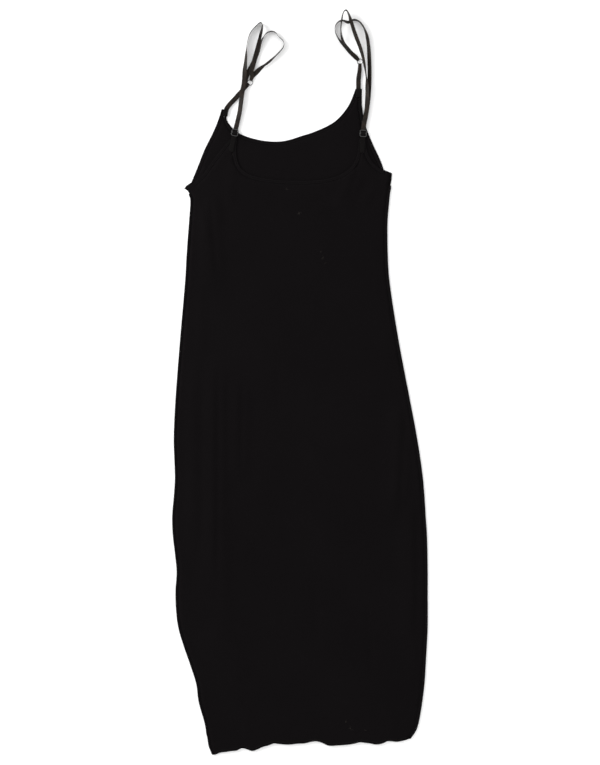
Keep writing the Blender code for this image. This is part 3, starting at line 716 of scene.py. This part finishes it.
def roll_side(sheet, run, side):
    """The front's edge turned up and over to its seam: side is -1 on the left and 1 on the right."""
    found = {(round(v.co.x, 3), round(v.co.y, 3)): v for v in sheet.verts}
    before = None
    for place in smoothed(run, OUTLINE_STEP):
        if place.y > ROLL_TOPS[side]:
            continue
        start = found[(round(place.x, 3), round(place.y, 3))]
        column = [start]
        for k in range(1, ROLL_STEPS + 1):
            angle = math.pi * k / ROLL_STEPS
            turned = Vector((side * ROLL * math.sin(angle), 0.0, ROLL * (1.0 - math.cos(angle))))
            column.append(sheet.verts.new(start.co + turned))
        inward = SEAM_INSET - ROLL - WALL / 2
        column.append(sheet.verts.new(start.co + Vector((-side * inward, 0.0, 2.0 * ROLL))))
        if before:
            for a, b, c, d in zip(before, column, column[1:], before[1:]):
                sheet.faces.new((a, b, c, d))
        before = column


def front_level(x, y):
    """The front's middle, flat on the table but for faint creases."""
    return WALL / 2 + FRONT_SHARE * lie(x, y, FRONT_SIDES, FOLDS, SMALL_FOLDS)


front_sheet, front_outline = fill(front_runs, front_level, "front")
roll_side(front_sheet, run_near(front_runs, -215, -150), -1)
roll_side(front_sheet, run_near(front_runs, 215, -150), 1)
front_panel = wall_sheet("front_cloth", front_sheet, jersey, "front_panel")

# %% [markdown]
# ## Ribbons: bindings and straps
#
# A binding is a strip of jersey folded over the raw edge and stitched down, so in section it is
# a flat pillow. A strap is woven elastic, thinner and flatter. Both are the same kind of shape:
# a section with a left edge, a middle and a right edge, carried along a path. A function lofts
# a closed skin through such sections, rounds the two long edges and writes a UV map in
# millimetres along and across the strip, which the woven pattern follows.

# %% Loft a strip through its sections
# Places across half a section and the height there, as shares of the half width and thickness
ROUND_SIDES = ((1.0, 0.0), (0.97, 0.62), (0.86, 1.0), (0.45, 1.0), (0.0, 1.0))


def strip_skin(sections, thickness, crown, start):
    """A closed mesh through sections of left, middle and right points; crown swells the middle."""
    over = [*ROUND_SIDES, *((-share, lift) for share, lift in ROUND_SIDES[-2::-1])]
    ring = over + [(share, -lift) for share, lift in over[-2:0:-1]]
    shape = bmesh.new()
    uv_layer = shape.loops.layers.uv.new("strip")
    last = len(sections) - 1
    rows = []
    lengths = [start]
    for k, (left, middle, right) in enumerate(sections):
        forward = sections[min(k + 1, last)][1] - sections[max(k - 1, 0)][1]
        side = (left - right).normalized()
        normal = forward.cross(side).normalized()
        if k:
            lengths.append(lengths[-1] + (middle - sections[k - 1][1]).length)
        row = []
        for share, lift in ring:
            outer = left if share > 0 else right
            place = middle.lerp(outer, abs(share))
            swell = thickness / 2 * (1.0 + crown * (1.0 - share * share))
            row.append(shape.verts.new(place + normal * (lift * swell)))
        rows.append(row)
    count = len(ring)
    half_width = (sections[last // 2][0] - sections[last // 2][2]).length / 2
    for k in range(last):
        for i in range(count):
            j = (i + 1) % count
            face = shape.faces.new((rows[k][i], rows[k + 1][i], rows[k + 1][j], rows[k][j]))
            spots = ((k, i), (k + 1, i), (k + 1, j), (k, j))
            for loop, (row, place) in zip(face.loops, spots):
                loop[uv_layer].uv = (lengths[row], ring[place][0] * half_width)
    for row in (rows[0], rows[-1][::-1]):
        cap = shape.faces.new(row)
        for loop in cap.loops:
            loop[uv_layer].uv = (0.0, 0.0)
    bmesh.ops.recalc_face_normals(shape, faces=shape.faces)
    return shape


def strip_piece(name, sections, thickness, crown, material, node, start=0.0):
    """A strip in millimetres as a finished piece; its UV map counts its length from start."""
    mesh = as_mesh(name, strip_skin(sections, thickness, crown, start))
    print(name, len(mesh.polygons), "faces")
    return finish_piece(name, mesh, material, [node])


# %% Bind the necklines and armholes
bindings = {}
for node, rows in binding_rows.items():
    bindings[node] = strip_piece(node + "_cloth", rows, BINDING / (1 + BINDING_CROWN), BINDING_CROWN,
                                 binding_cloth, node)

# %% [markdown]
# ## The straps' routes
#
# Each strap is one length of elastic. It starts sewn to the back, comes up through the slider and
# over its bar, runs to the ring on the front's point, goes through the ring, and comes back to
# end round the slider's bar. Laid down loose, it stands on its edge in places and flops flat in
# others, so each run is a short table: places, the tilt of the strap there, and how far its
# lower edge is lifted where it lies on something. A loose strap is stiff enough to curl in one
# smooth line, so a cubic carries it through the places.

# %% Write down the routes
STRAP = 0.6                 # thickness of the elastic
STRAP_STEP = 5.0
FLOOR_CLEAR = 0.1
RING_HOLE = 8.6
RING_WIRE = 1.0
RING_SPREAD = 33.0          # a strap wraps this many degrees of the ring on each side
RING_CLEAR = 10.0           # the first section of a run is this far from the ring's middle
RING_SQUEEZE = 0.8          # and the elastic is this much narrower there
SOLID_STRAP = 1.0           # the model's thickness, which sets the levels
RING_LEVEL = SOLID_STRAP + GAP + RING_WIRE / 2
OVER_RING = RING_LEVEL + RING_WIRE / 2 + GAP
SLIDER_SIZE = 12.4
SLIDER_WIRE = 1.3
SLIDER_BASE = BINDING + GAP
SLIDER_LEVEL = SLIDER_BASE + 2 * (SOLID_STRAP + GAP) + SLIDER_WIRE / 2
TAIL_LEVEL = BACK_LOW + BINDING + GAP + SOLID_STRAP / 2     # middle of the tail sewn to the back

# Name, across, height, tilt in degrees, lift. The under run leaves the ring below its wire and
# ends at the slider's bar; the over run leaves it above and ends sewn to the back.
LEFT_UNDER = [
    ("clear of the ring", -78, 540, 4, 0.0),
    ("band", -70, 547, 45, 0.0),
    ("twist", -62, 553, 74, 0.0),
    ("outer arc", -54, 559, 70, 0.0),
    ("arc", -42, 570, 86, 0.0),
    ("right of the loop", -31, 582, 88, 0.0),
    ("bend", -28, 590, 88, 0.0),
    ("above the bend", -31, 597, 86, 0.0),
    ("notch", -38, 603, 80, 0.0),
    ("over the top", -42, 609, 86, 0.0),
    ("top", -50, 612, 88, 0.0),
    ("left of the top", -60, 608, 86, 0.0),
    ("under the band", -68, 595, 60, 0.0),
    ("middle band", -74, 579, 20, 0.0),
    ("crossing", -81, 560, 8, 0.0),
    ("beside the ring", -92, 538, 8, 0.6),
    ("past the ring", -97, 521, 8, 3.9),
    ("over the stub", -101, 506, 4, 3.9),
    ("below the stub", -103, 490, 16, 3.0),
    ("gap side", -106, 470, 18, 0.6),
    ("above the neck", -110, 452, 6, 1.9),
]
LEFT_OVER = [
    ("clear of the ring", -85, 543, 4, 3.8),
    ("band", -80, 561, 12, 3.2),
    ("wide band", -74, 584, 40, 5.0),
    ("narrowing", -69, 604, 56, 7.4),
    ("near the tip", -66, 619, 74, 3.0),
    ("tip", -68, 627, 88, 0.4),
    ("left of the tip", -75, 623, 88, 0.0),
    ("thin arc", -87, 609, 88, 0.0),
    ("thin side", -93, 588, 86, 0.0),
    ("widening", -95, 563, 50, 1.4),
    ("beside the ring", -97, 541, 14, 3.0),
    ("past the ring", -98, 522, 8, 5.5),
    ("over the stub", -101, 506, 4, 5.5),
    ("below the stub", -103, 490, 16, 4.6),
    ("gap side", -106, 470, 18, 2.4),
    ("above the neck", -110, 452, 6, 3.4),
]
RIGHT_UNDER = [
    ("clear of the ring", 87, 576, 35, 0.0),
    ("band", 73, 592, 48, 0.0),
    ("narrowing", 64, 605, 72, 0.0),
    ("left of the loop", 61, 618, 88, 0.0),
    ("bend", 65, 627, 88, 0.0),
    ("top left", 74, 631, 86, 0.0),
    ("notch", 83, 628, 70, 0.0),
    ("under the leg", 87, 629, 66, 0.0),
    ("top right", 93, 632, 80, 0.0),
    ("top arc", 102, 630, 88, 0.0),
    ("shoulder", 111, 619, 82, 0.0),
    ("right side", 118, 598, 50, 0.0),
    ("long side", 121, 561, 36, 0.0),
    ("lower side", 121, 521, 30, 0.0),
    ("closing in", 118, 486, 14, 1.2),
    ("beside the front", 115, 467, 6, 1.9),
    ("above the back", 112, 452, 6, 1.9),
]
RIGHT_OVER = [
    ("clear of the ring", 88, 576, 35, 2.9),
    ("band", 75, 594, 50, 2.8),
    ("leaving the band", 71, 613, 76, 6.5),
    ("left leg", 73, 633, 74, 8.6),
    ("near the tip", 76, 644, 86, 7.8),
    ("tip", 80, 647, 88, 7.4),
    ("past the tip", 84, 641, 76, 7.8),
    ("right leg", 89, 626, 50, 8.6),
    ("wide leg", 96, 606, 42, 5.4),
    ("above the ring", 105, 583, 48, 2.4),
    ("over the rim", 111, 561, 62, 2.9),
    ("thin side", 115, 535, 80, 1.8),
    ("joining", 117, 510, 40, 3.8),
    ("closing in", 117, 486, 14, 3.2),
    ("beside the front", 115, 467, 6, 3.4),
    ("above the back", 112, 452, 6, 3.4),
]
# Name, across, height: from the front's point to its ring
LEFT_STUB = [
    ("sewn end", -131, 464),
    ("point", -128, 478),
    ("free", -112, 497),
    ("near the ring", -98, 513),
]
RIGHT_STUB = [
    ("sewn end", 102, 498),
    ("point", 102, 512),
    ("free", 102, 528),
    ("near the ring", 104, 545),
]
STRAP_SIDES = {
    "left": {
        "ring": (-87.4, 523.3), "leaves": 72.0, "slider": (-114.0, 435.0), "sewn": (-121.0, 402.0),
        "under": LEFT_UNDER, "over": LEFT_OVER, "stub": LEFT_STUB,
    },
    "right": {
        "ring": (104.6, 559.6), "leaves": 133.0, "slider": (110.2, 433.6), "sewn": (108.0, 400.0),
        "under": RIGHT_UNDER, "over": RIGHT_OVER, "stub": RIGHT_STUB,
    },
}


# %% Carry the elastic along its routes
def blend(a, b, share):
    """The value a share of the way from a to b."""
    return a + (b - a) * share


def section(centre, forward, height, tilt=0.0, width=STRAP_WIDTH):
    """Left edge, middle and right edge of a strap across its way forward."""
    side = Vector((-forward.y, forward.x, 0.0)).normalized() * math.cos(tilt)
    side.z = math.sin(tilt)
    middle = Vector((centre.x, centre.y, height))
    return [middle + side * (width / 2), middle, middle - side * (width / 2)]


def run_sections(run):
    """Sections along one run of a strap, each resting on its lower edge at the run's lift."""
    path = smooth_path([Vector((r[1], r[2], 0.0)) for r in run], STRAP_STEP)
    last = len(path) - 1
    sections = []
    for k, (centre, i, t) in enumerate(path):
        tilt = math.radians(blend(run[i][3], run[i + 1][3], float(smooth(t))))
        lift = blend(run[i][4], run[i + 1][4], float(smooth(t))) + FLOOR_CLEAR
        height = lift + STRAP_WIDTH / 2 * abs(math.sin(tilt)) + STRAP / 2 * abs(math.cos(tilt))
        forward = path[min(k + 1, last)][0] - path[max(k - 1, 0)][0]
        sections.append(section(centre, forward, height, tilt))
    return sections


def ring_sections(ring, leaves):
    """Sections of a strap round the ring's wire, from over it, through the ring and out below it."""
    middle = RING_HOLE / 2 + RING_WIRE / 2
    around = RING_WIRE / 2 + GAP + SOLID_STRAP / 2
    sections = []
    for k in range(7):
        turn = math.radians(90.0 + 30.0 * k)
        out = middle + around * math.cos(turn)
        height = RING_LEVEL + around * math.sin(turn) + FLOOR_CLEAR
        ways = [math.radians(leaves + share * RING_SPREAD) for share in (-1.0, 0.0, 1.0)]
        sections.append([
            Vector((ring.x + out * math.cos(way), ring.y + out * math.sin(way), height)) for way in ways])
    return sections


def beside_ring(ring, leaves, height):
    """One flat section between the ring and the free strap."""
    outward = Vector((math.cos(math.radians(leaves)), math.sin(math.radians(leaves)), 0.0))
    return section(ring + outward * RING_CLEAR, outward, height + FLOOR_CLEAR, 0.0,
                   STRAP_WIDTH - RING_SQUEEZE)


def slider_way(side):
    """The slider's centre and the way down the strap through it."""
    start = side["over"][-1]
    way = Vector((side["sewn"][0] - start[1], side["sewn"][1] - start[2], 0.0))
    return Vector((*side["slider"], 0.0)), way.normalized()


def slider_sections(side):
    """The over run through the slider and down to its sewn end on the back."""
    slider, down = slider_way(side)
    half = (SLIDER_SIZE - SLIDER_WIRE) / 2
    low = SLIDER_BASE + SOLID_STRAP + GAP + SOLID_STRAP / 2
    high = SLIDER_LEVEL + SLIDER_WIRE / 2 + GAP + SOLID_STRAP / 2
    # Places along the strap from the slider's middle, each with its level
    places = [
        (-half - 3.5, low), (-half, low), (1.0 - half, low), (-1.6, high - 0.4), (0.0, high),
        (1.6, high - 0.4), (half - 1.0, low), (half, low), (half + 2.4, TAIL_LEVEL),
        (half + 8.0, TAIL_LEVEL), (half + 14.0, TAIL_LEVEL),
    ]
    sections = [section(slider + down * along, down, height) for along, height in places]
    return sections + [section(Vector((*side["sewn"], 0.0)), down, TAIL_LEVEL)]


def bar_sections(side):
    """The end of the under run, held against the slider's bar from below."""
    slider, down = slider_way(side)
    half = (SLIDER_SIZE - SLIDER_WIRE) / 2
    low = SLIDER_BASE + SOLID_STRAP / 2
    high = SLIDER_LEVEL - SLIDER_WIRE / 2 - GAP - SOLID_STRAP / 2
    places = [(-half - 3.5, low), (-half, low), (1.3 - half, low), (-1.4, high - 0.1), (1.4, high - 0.1)]
    return [section(slider + down * along, down, height) for along, height in places]


FINE_STEP = 1.6             # millimetres from one finished section to the next


def refined(sections):
    """The same sections with more between them, on smooth curves through each of the three points."""
    last = len(sections) - 1
    result = [sections[0]]
    for i in range(last):
        before, a, b, after = (sections[max(0, min(last, i + k))] for k in (-1, 0, 1, 2))
        length = (b[1] - a[1]).length
        pieces = max(1, round(length / FINE_STEP))
        for j in range(1, pieces + 1):
            row = []
            for p, q, r, s in zip(before, a, b, after):
                gap = (r - q).length
                start = (r - p).normalized() * gap
                end = (s - q).normalized() * gap
                row.append(hermite(q, start, r, end, j / pieces))
            result.append(row)
    return result


def strap_rows(side):
    """All of a strap's sections, from its sewn end to the slider's bar."""
    ring = Vector((*side["ring"], 0.0))
    over = run_sections(side["over"]) + slider_sections(side)
    under = run_sections(side["under"]) + bar_sections(side)
    over.insert(0, beside_ring(ring, side["leaves"], OVER_RING + SOLID_STRAP / 2))
    under.insert(0, beside_ring(ring, side["leaves"], SOLID_STRAP / 2))
    rows = [row[::-1] for row in over[::-1]]
    rows += ring_sections(ring, side["leaves"])
    return rows + [row[::-1] for row in under]


STUB_STEPS = 10
RING_TAPER = 1.2            # a stub is this much narrower at its ring


def stub_rows(side):
    """Sections of a stub, from its upper sewn end round the ring's wire to its lower one."""
    ring = Vector((*side["ring"], 0.0))
    knots = [Vector((r[1], r[2], 0.0)) for r in side["stub"]]
    outward = knots[-1] - ring
    leaves = math.degrees(math.atan2(outward.y, outward.x))
    line = evenly(smoothed(knots, 2.0), STUB_STEPS)
    apart = OVER_RING - SOLID_STRAP - GAP
    lower, upper = [], []
    for k, place in enumerate(line):
        forward = line[min(k + 1, STUB_STEPS)] - line[max(k - 1, 0)]
        share = k / STUB_STEPS
        low = SOLID_STRAP / 2 + FLOOR_CLEAR + (BINDING + GAP) * float(smooth(1.4 - share * 2.0))
        high = low + SOLID_STRAP + GAP + apart * float(smooth(share * 2.5 - 1.5))
        width = STRAP_WIDTH - RING_TAPER * float(smooth(share * 3.0 - 2.0))
        lower.append(section(place, forward, low, 0.0, width))
        upper.append(section(place, forward, high, 0.0, width))
    return upper + ring_sections(ring, leaves) + lower[::-1]


SEWN = 14.0                 # a stub shows its matt back this far from its sewn end

straps = {}
for name, side in STRAP_SIDES.items():
    straps[name] = strip_piece("elastic_strap_" + name, refined(strap_rows(side)), STRAP, 0.0,
                               elastic, "strap_" + name)
    straps["stub_" + name] = strip_piece("elastic_stub_" + name, refined(stub_rows(side)), STRAP, 0.0,
                                         elastic, "strap_stub_" + name, MATT_END - SEWN)

# %% [markdown]
# ## Rings and sliders
#
# The ring is a loop of round wire, so a torus with fine faces is all it needs. The slider is a
# cast frame with a bar across it. Its flat solid has the right outline and windows, so a merged
# copy of it is taken from the model, and a Bevel rounds its edges the way casting and coating
# do, which is what gives it a thin bright line along each edge.

# %% Make the rings and sliders
EDGE_ROUND = 0.42           # millimetres that the slider's edges are rounded by
FLAT = math.radians(1.0)    # faces that turn less than this are one flat face
SHARP = math.radians(50.0)  # and edges that turn more than this are rounded

for name, side in STRAP_SIDES.items():
    bpy.ops.mesh.primitive_torus_add(
        major_radius=(RING_HOLE + RING_WIRE) / 2 * MM, minor_radius=RING_WIRE / 2 * MM,
        major_segments=64, minor_segments=16)
    loop = bpy.context.object
    ring_mesh = loop.data
    bpy.data.objects.remove(loop)
    ring_mesh.transform(Matrix.Translation(
        (side["ring"][0] * MM, side["ring"][1] * MM, (RING_LEVEL + FLOOR_CLEAR) * MM)))
    finish_piece("wire_ring_" + name, ring_mesh, ring_coat, ["ring_" + name])

    shape = bmesh.new()
    shape.from_mesh(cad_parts["slider_" + name].data)
    bmesh.ops.remove_doubles(shape, verts=shape.verts, dist=MERGE)
    bmesh.ops.dissolve_limit(shape, angle_limit=FLAT, verts=shape.verts, edges=shape.edges)
    slider_mesh = bpy.data.meshes.new("cast_slider_" + name)
    shape.to_mesh(slider_mesh)
    shape.free()
    slider = finish_piece("cast_slider_" + name, slider_mesh, coat, ["slider_" + name])
    rounding = slider.modifiers.new("rounded edges", "BEVEL")
    rounding.width = EDGE_ROUND * MM
    rounding.segments = 4
    rounding.limit_method = "ANGLE"
    rounding.angle_limit = SHARP
print("rings and sliders:", 2 * len(STRAP_SIDES))

# %% [markdown]
# ## Thread by Geometry Nodes
#
# Every seam is held by thread, and a thread is one small shape many times over, so two node
# trees draw it. Both take a mesh of plain lines. The first walks along each line and sets a
# stitch at every step, an oval that is half sunk in the cloth, as a needle pulls it. The second
# draws the line itself as a round thread, which suits the loops of an overlocked hem, the
# zigzag of a bar tack and a curl of lint. The result is kept as a plain mesh.

# %% Build the two node trees
SIZE_SOCKET = "NodeSocketFloat"


def new_tree(name, inputs):
    """A node tree from geometry to geometry, with named inputs, and its two end nodes."""
    tree = bpy.data.node_groups.new(name, "GeometryNodeTree")
    tree.interface.new_socket("Lines", in_out="INPUT", socket_type="NodeSocketGeometry")
    for label, kind in inputs:
        tree.interface.new_socket(label, in_out="INPUT", socket_type=kind)
    tree.interface.new_socket("Thread", in_out="OUTPUT", socket_type="NodeSocketGeometry")
    return tree, tree.nodes.new("NodeGroupInput"), tree.nodes.new("NodeGroupOutput")


def stitch_tree():
    """Ovals along each line, one at every pitch, with a slight change in their length."""
    tree, given, result = new_tree("stitch row", [
        ("Length", SIZE_SOCKET), ("Pitch", SIZE_SOCKET), ("Width", SIZE_SOCKET), ("Height", SIZE_SOCKET),
        ("Seed", "NodeSocketInt"), ("Material", "NodeSocketMaterial")])
    curve = add(tree, "GeometryNodeMeshToCurve", {0: given.outputs["Lines"]})
    points = add(tree, "GeometryNodeCurveToPoints", {0: curve, "Length": given.outputs["Pitch"]},
                 mode="LENGTH")
    turn = add(tree, "FunctionNodeAlignRotationToVector", {"Vector": points.outputs["Tangent"]}, axis="X")
    uneven = add(tree, "FunctionNodeRandomValue", {"Seed": given.outputs["Seed"]}, data_type="FLOAT")
    uneven.inputs[2].default_value = 0.9
    uneven.inputs[3].default_value = 1.1
    length = add(tree, "ShaderNodeMath", {0: given.outputs["Length"], 1: uneven.outputs[1]},
                 operation="MULTIPLY")
    size = add(tree, "ShaderNodeCombineXYZ", {"X": length, "Y": given.outputs["Width"],
                                              "Z": given.outputs["Height"]})
    oval = add(tree, "GeometryNodeMeshUVSphere", {"Segments": 8, "Rings": 5, "Radius": 0.5})
    soft = add(tree, "GeometryNodeSetShadeSmooth", {0: oval})
    placed = add(tree, "GeometryNodeInstanceOnPoints", {
        "Points": points.outputs["Points"], "Instance": soft, "Rotation": turn, "Scale": size})
    solid = add(tree, "GeometryNodeRealizeInstances", {0: placed})
    dyed = add(tree, "GeometryNodeSetMaterial", {0: solid, "Material": given.outputs["Material"]})
    tree.links.new(dyed.outputs[0], result.inputs[0])
    return tree


def thread_tree():
    """Each line as a round thread with closed ends."""
    tree, given, result = new_tree("thread line", [
        ("Width", SIZE_SOCKET), ("Material", "NodeSocketMaterial")])
    curve = add(tree, "GeometryNodeMeshToCurve", {0: given.outputs["Lines"]})
    radius = add(tree, "ShaderNodeMath", {0: given.outputs["Width"], 1: 0.5}, operation="MULTIPLY")
    ring = add(tree, "GeometryNodeCurvePrimitiveCircle", {"Resolution": 6, "Radius": radius})
    tube = add(tree, "GeometryNodeCurveToMesh", {"Curve": curve, "Profile Curve": ring,
                                                 "Fill Caps": True})
    soft = add(tree, "GeometryNodeSetShadeSmooth", {0: tube})
    solid = add(tree, "GeometryNodeRealizeInstances", {0: soft})
    dyed = add(tree, "GeometryNodeSetMaterial", {0: solid, "Material": given.outputs["Material"]})
    tree.links.new(dyed.outputs[0], result.inputs[0])
    return tree


stitches = stitch_tree()
threads = thread_tree()


def sew(name, lines, tree, settings):
    """Lines of points in millimetres run through a node tree and kept as a plain mesh."""
    places = []
    edges = []
    for line in lines:
        edges += [(i, i + 1) for i in range(len(places), len(places) + len(line) - 1)]
        places += [place * MM for place in line]
    host_mesh = bpy.data.meshes.new(name + "_lines")
    host_mesh.from_pydata(places, edges, [])
    host = bpy.data.objects.new(name + "_lines", host_mesh)
    bpy.context.scene.collection.objects.link(host)
    modifier = host.modifiers.new("thread", "NODES")
    modifier.node_group = tree
    for item in tree.interface.items_tree:
        if item.in_out == "INPUT" and item.name in settings:
            modifier[item.identifier] = settings[item.name]
    bpy.context.view_layer.update()
    mesh = bpy.data.meshes.new_from_object(host.evaluated_get(bpy.context.evaluated_depsgraph_get()))
    mesh.name = name
    bpy.data.objects.remove(host)
    print(name, "lines:", len(lines), "faces:", len(mesh.polygons))
    return finish_piece(name, mesh)


# %% [markdown]
# ## Rows of stitches
#
# A stretch binding is held by two rows from a twin needle, on both of its faces. The side seams
# are sewn from inside, so only short glints of thread lie in the groove between the panels. The
# bare edge of the hem is overlocked: loops go over the edge and meet a straight needle row.
# Where elastic is sewn to cloth, a bar tack, a dense zigzag across it, takes the pull.

# %% Stitch the bindings and side seams
THREAD = 0.34               # millimetres across a sewing thread
FINE_THREAD = 0.3           # and across an overlock thread or a bar tack's
ROW_SHARES = (-0.5, 0.5)    # places of the twin rows across a binding's half width


def stitch_row(length, pitch, height, seed):
    """Inputs of the stitch tree for one kind of seam, with sizes in millimetres."""
    return {"Length": length * MM, "Pitch": pitch * MM, "Width": THREAD * MM, "Height": height * MM,
            "Seed": seed, "Material": thread}


def binding_lines(node, face):
    """The twin rows on a binding's upper face (1) or lower one (-1)."""
    reach = BINDING / 2 * (1 + BINDING_CROWN * 0.75) / (1 + BINDING_CROWN)
    lift = Vector((0.0, 0.0, reach if face > 0 else 0.1 - reach))
    lines = []
    for share in ROW_SHARES:
        outer = 0 if share > 0 else 2
        lines.append([row[1].lerp(row[outer], abs(share)) + lift for row in binding_rows[node][1:-1]])
    return lines


binding_stitches = [line for node in bindings for face in (1, -1) for line in binding_lines(node, face)]
sew("binding_stitches", binding_stitches, stitches, stitch_row(2.1, 2.7, 0.16, 3))

SEAM_END = -647.0           # the left seam's stitches end here, inside the hem
SEAM_SINK = 0.12            # the seam's stitches lie this far below the back's upper face

seam_lines = []
inward = SEAM_INSET - ROLL - WALL / 2 + GAP / 2
for x, side in ((-215, -1), (215, 1)):
    line = []
    for place in smoothed(run_near(front_runs, x, -150), OUTLINE_STEP):
        if SEAM_END < place.y <= ROLL_TOPS[side]:
            line.append(Vector((place.x - side * inward, place.y, BACK_LOW + WALL - SEAM_SINK)))
    seam_lines.append(line)
sew("side_seam_stitches", seam_lines, stitches, stitch_row(1.7, 2.8, 0.24, 5))

# %% Overlock the hem
HEM_PITCH = 1.2
HEM_REACH = 4.0             # millimetres from the edge to the needle row
EDGE_LIP = 0.12             # the loops pass this far outside the edge
LOOP_TURN = 0.35            # and turn over it this far inside
HEM_LIFT = 0.06             # thread stands this much off the cloth


def hem_frames(runs):
    """Places along a panel's hem with the way into the cloth."""
    run = sorted(run_near(runs, 0, -640), key=lambda p: p.x)
    length = sum((b - a).length for a, b in zip(run, run[1:]))
    pieces = 2 * round(length / HEM_PITCH / 2)
    line = evenly(smoothed(run, 1.0), pieces)
    frames = []
    for k, place in enumerate(line):
        way = (line[min(k + 1, pieces)] - line[max(k - 1, 0)]).xy.normalized()
        frames.append((place.xy, Vector((-way.y, way.x))))
    return frames


def raised(spots, level, lift):
    """Flat places as points on a surface, lifted a little off it."""
    flat = np.array([tuple(spot) for spot in spots])
    heights = level(flat[:, 0], flat[:, 1])
    return [Vector((x, y, z + rise)) for (x, y), z, rise in zip(flat, heights, lift)]


def hem_threads(runs, level, face):
    """The loops over a hem's edge, and the lines of the needle and of the edge."""
    loops, lifts, needle, edge = [], [], [], []
    lift = face * (WALL / 2 + HEM_LIFT)
    for k, (place, inward) in enumerate(hem_frames(runs)[2:-2]):
        needle.append(place + inward * HEM_REACH)
        edge.append(place - inward * EDGE_LIP)
        if k % 2:
            loops += [edge[-1], place + inward * LOOP_TURN]
            lifts += [0.0, lift]
        else:
            loops.append(needle[-1])
            lifts.append(lift * 1.1)
    return (raised(loops, level, lifts), raised(needle, level, [lift] * len(needle)),
            raised(edge, level, [0.0] * len(edge)))


hem_sides = ((back_runs, back_middle, 1), (back_runs, back_middle, -1), (front_runs, front_level, 1))
hem_rows = [hem_threads(*hem_side) for hem_side in hem_sides]
sew("hem_overlock", [row for loops, _needle, edge in hem_rows for row in (loops, edge)], threads, {
    "Width": FINE_THREAD * MM, "Material": hem_thread})
sew("hem_needle_row", [needle for _loops, needle, _edge in hem_rows], stitches,
    stitch_row(2.0, 2.5, 0.2, 8))

# %% Tack the elastic down
TACK_TEETH = 11
TACK_DEPTH = 0.9            # millimetres from crest to crest along the strap
TACK_INSET = 0.06           # share of the strap's width left bare at each edge
TACK_LIFT = STRAP / 2 + 0.08
TAIL_TACKS = (11.8, 14.9, 31.0)     # millimetres below the slider's middle


def tack(row, forward):
    """A zigzag across a strap's section, on its upper face."""
    left, _middle, right = row
    line = []
    for k in range(TACK_TEETH + 1):
        place = left.lerp(right, TACK_INSET + (1 - 2 * TACK_INSET) * k / TACK_TEETH)
        line.append(place + forward * (TACK_DEPTH / 2 * (-1) ** k) + Vector((0.0, 0.0, TACK_LIFT)))
    return line


tacks = []
for name, side in STRAP_SIDES.items():
    slider, down = slider_way(side)
    for along in TAIL_TACKS:
        tacks.append(tack(section(slider + down * along, down, TAIL_LEVEL), down))
    upper = stub_rows(side)
    for k in (1, 2):
        forward = (upper[k + 1][1] - upper[k - 1][1]).normalized()
        tacks.append(tack(upper[k], forward))
sew("bar_tacks", tacks, threads, {"Width": FINE_THREAD * MM, "Material": thread})

# %% [markdown]
# ## Lint
#
# Black jersey picks up lint, and the photograph shows a few pale specks on the back. Each is a
# little tuft of two to five loose fibres, curled at random from a fixed seed and laid on the cloth.

# %% Drop the lint
# Across, height, fibres, reach in millimetres
LINT = [
    (-24, 338, 3, 2.2), (-2, 293, 5, 3.0), (40, 218, 3, 2.4), (44, 206, 2, 2.0), (36, 226, 2, 1.6),
    (80, -594, 3, 2.4), (88, -602, 3, 3.0), (91, -609, 2, 2.0), (113, -608, 2, 2.0), (-118, 397, 2, 1.5),
]
LINT_STEPS = 9
LINT_THREAD = 0.14
LINT_LIFT = 0.08            # a fibre's ends lie this far off the cloth
LINT_HOP = 0.25             # and its middle stands this much higher
lint_rng = np.random.default_rng(21)
fibres = []
for x, y, count, reach_out in LINT:
    for _ in range(count):
        way = lint_rng.uniform(0.0, math.tau)
        bend = lint_rng.uniform(-0.5, 0.5)
        spot = Vector((x, y)) + Vector(lint_rng.uniform(-0.5, 0.5, 2) * reach_out)
        line = []
        for k in range(LINT_STEPS):
            line.append(spot)
            way += bend + lint_rng.uniform(-0.3, 0.3)
            spot = spot + Vector((math.cos(way), math.sin(way))) * (reach_out * 1.4 / LINT_STEPS)
        bows = [math.sin(math.pi * k / (LINT_STEPS - 1)) for k in range(LINT_STEPS)]
        fibres.append(raised(line, back_level, [WALL + LINT_LIFT + LINT_HOP * bow for bow in bows]))
sew("lint", fibres, threads, {"Width": LINT_THREAD * MM, "Material": lint_fibre})
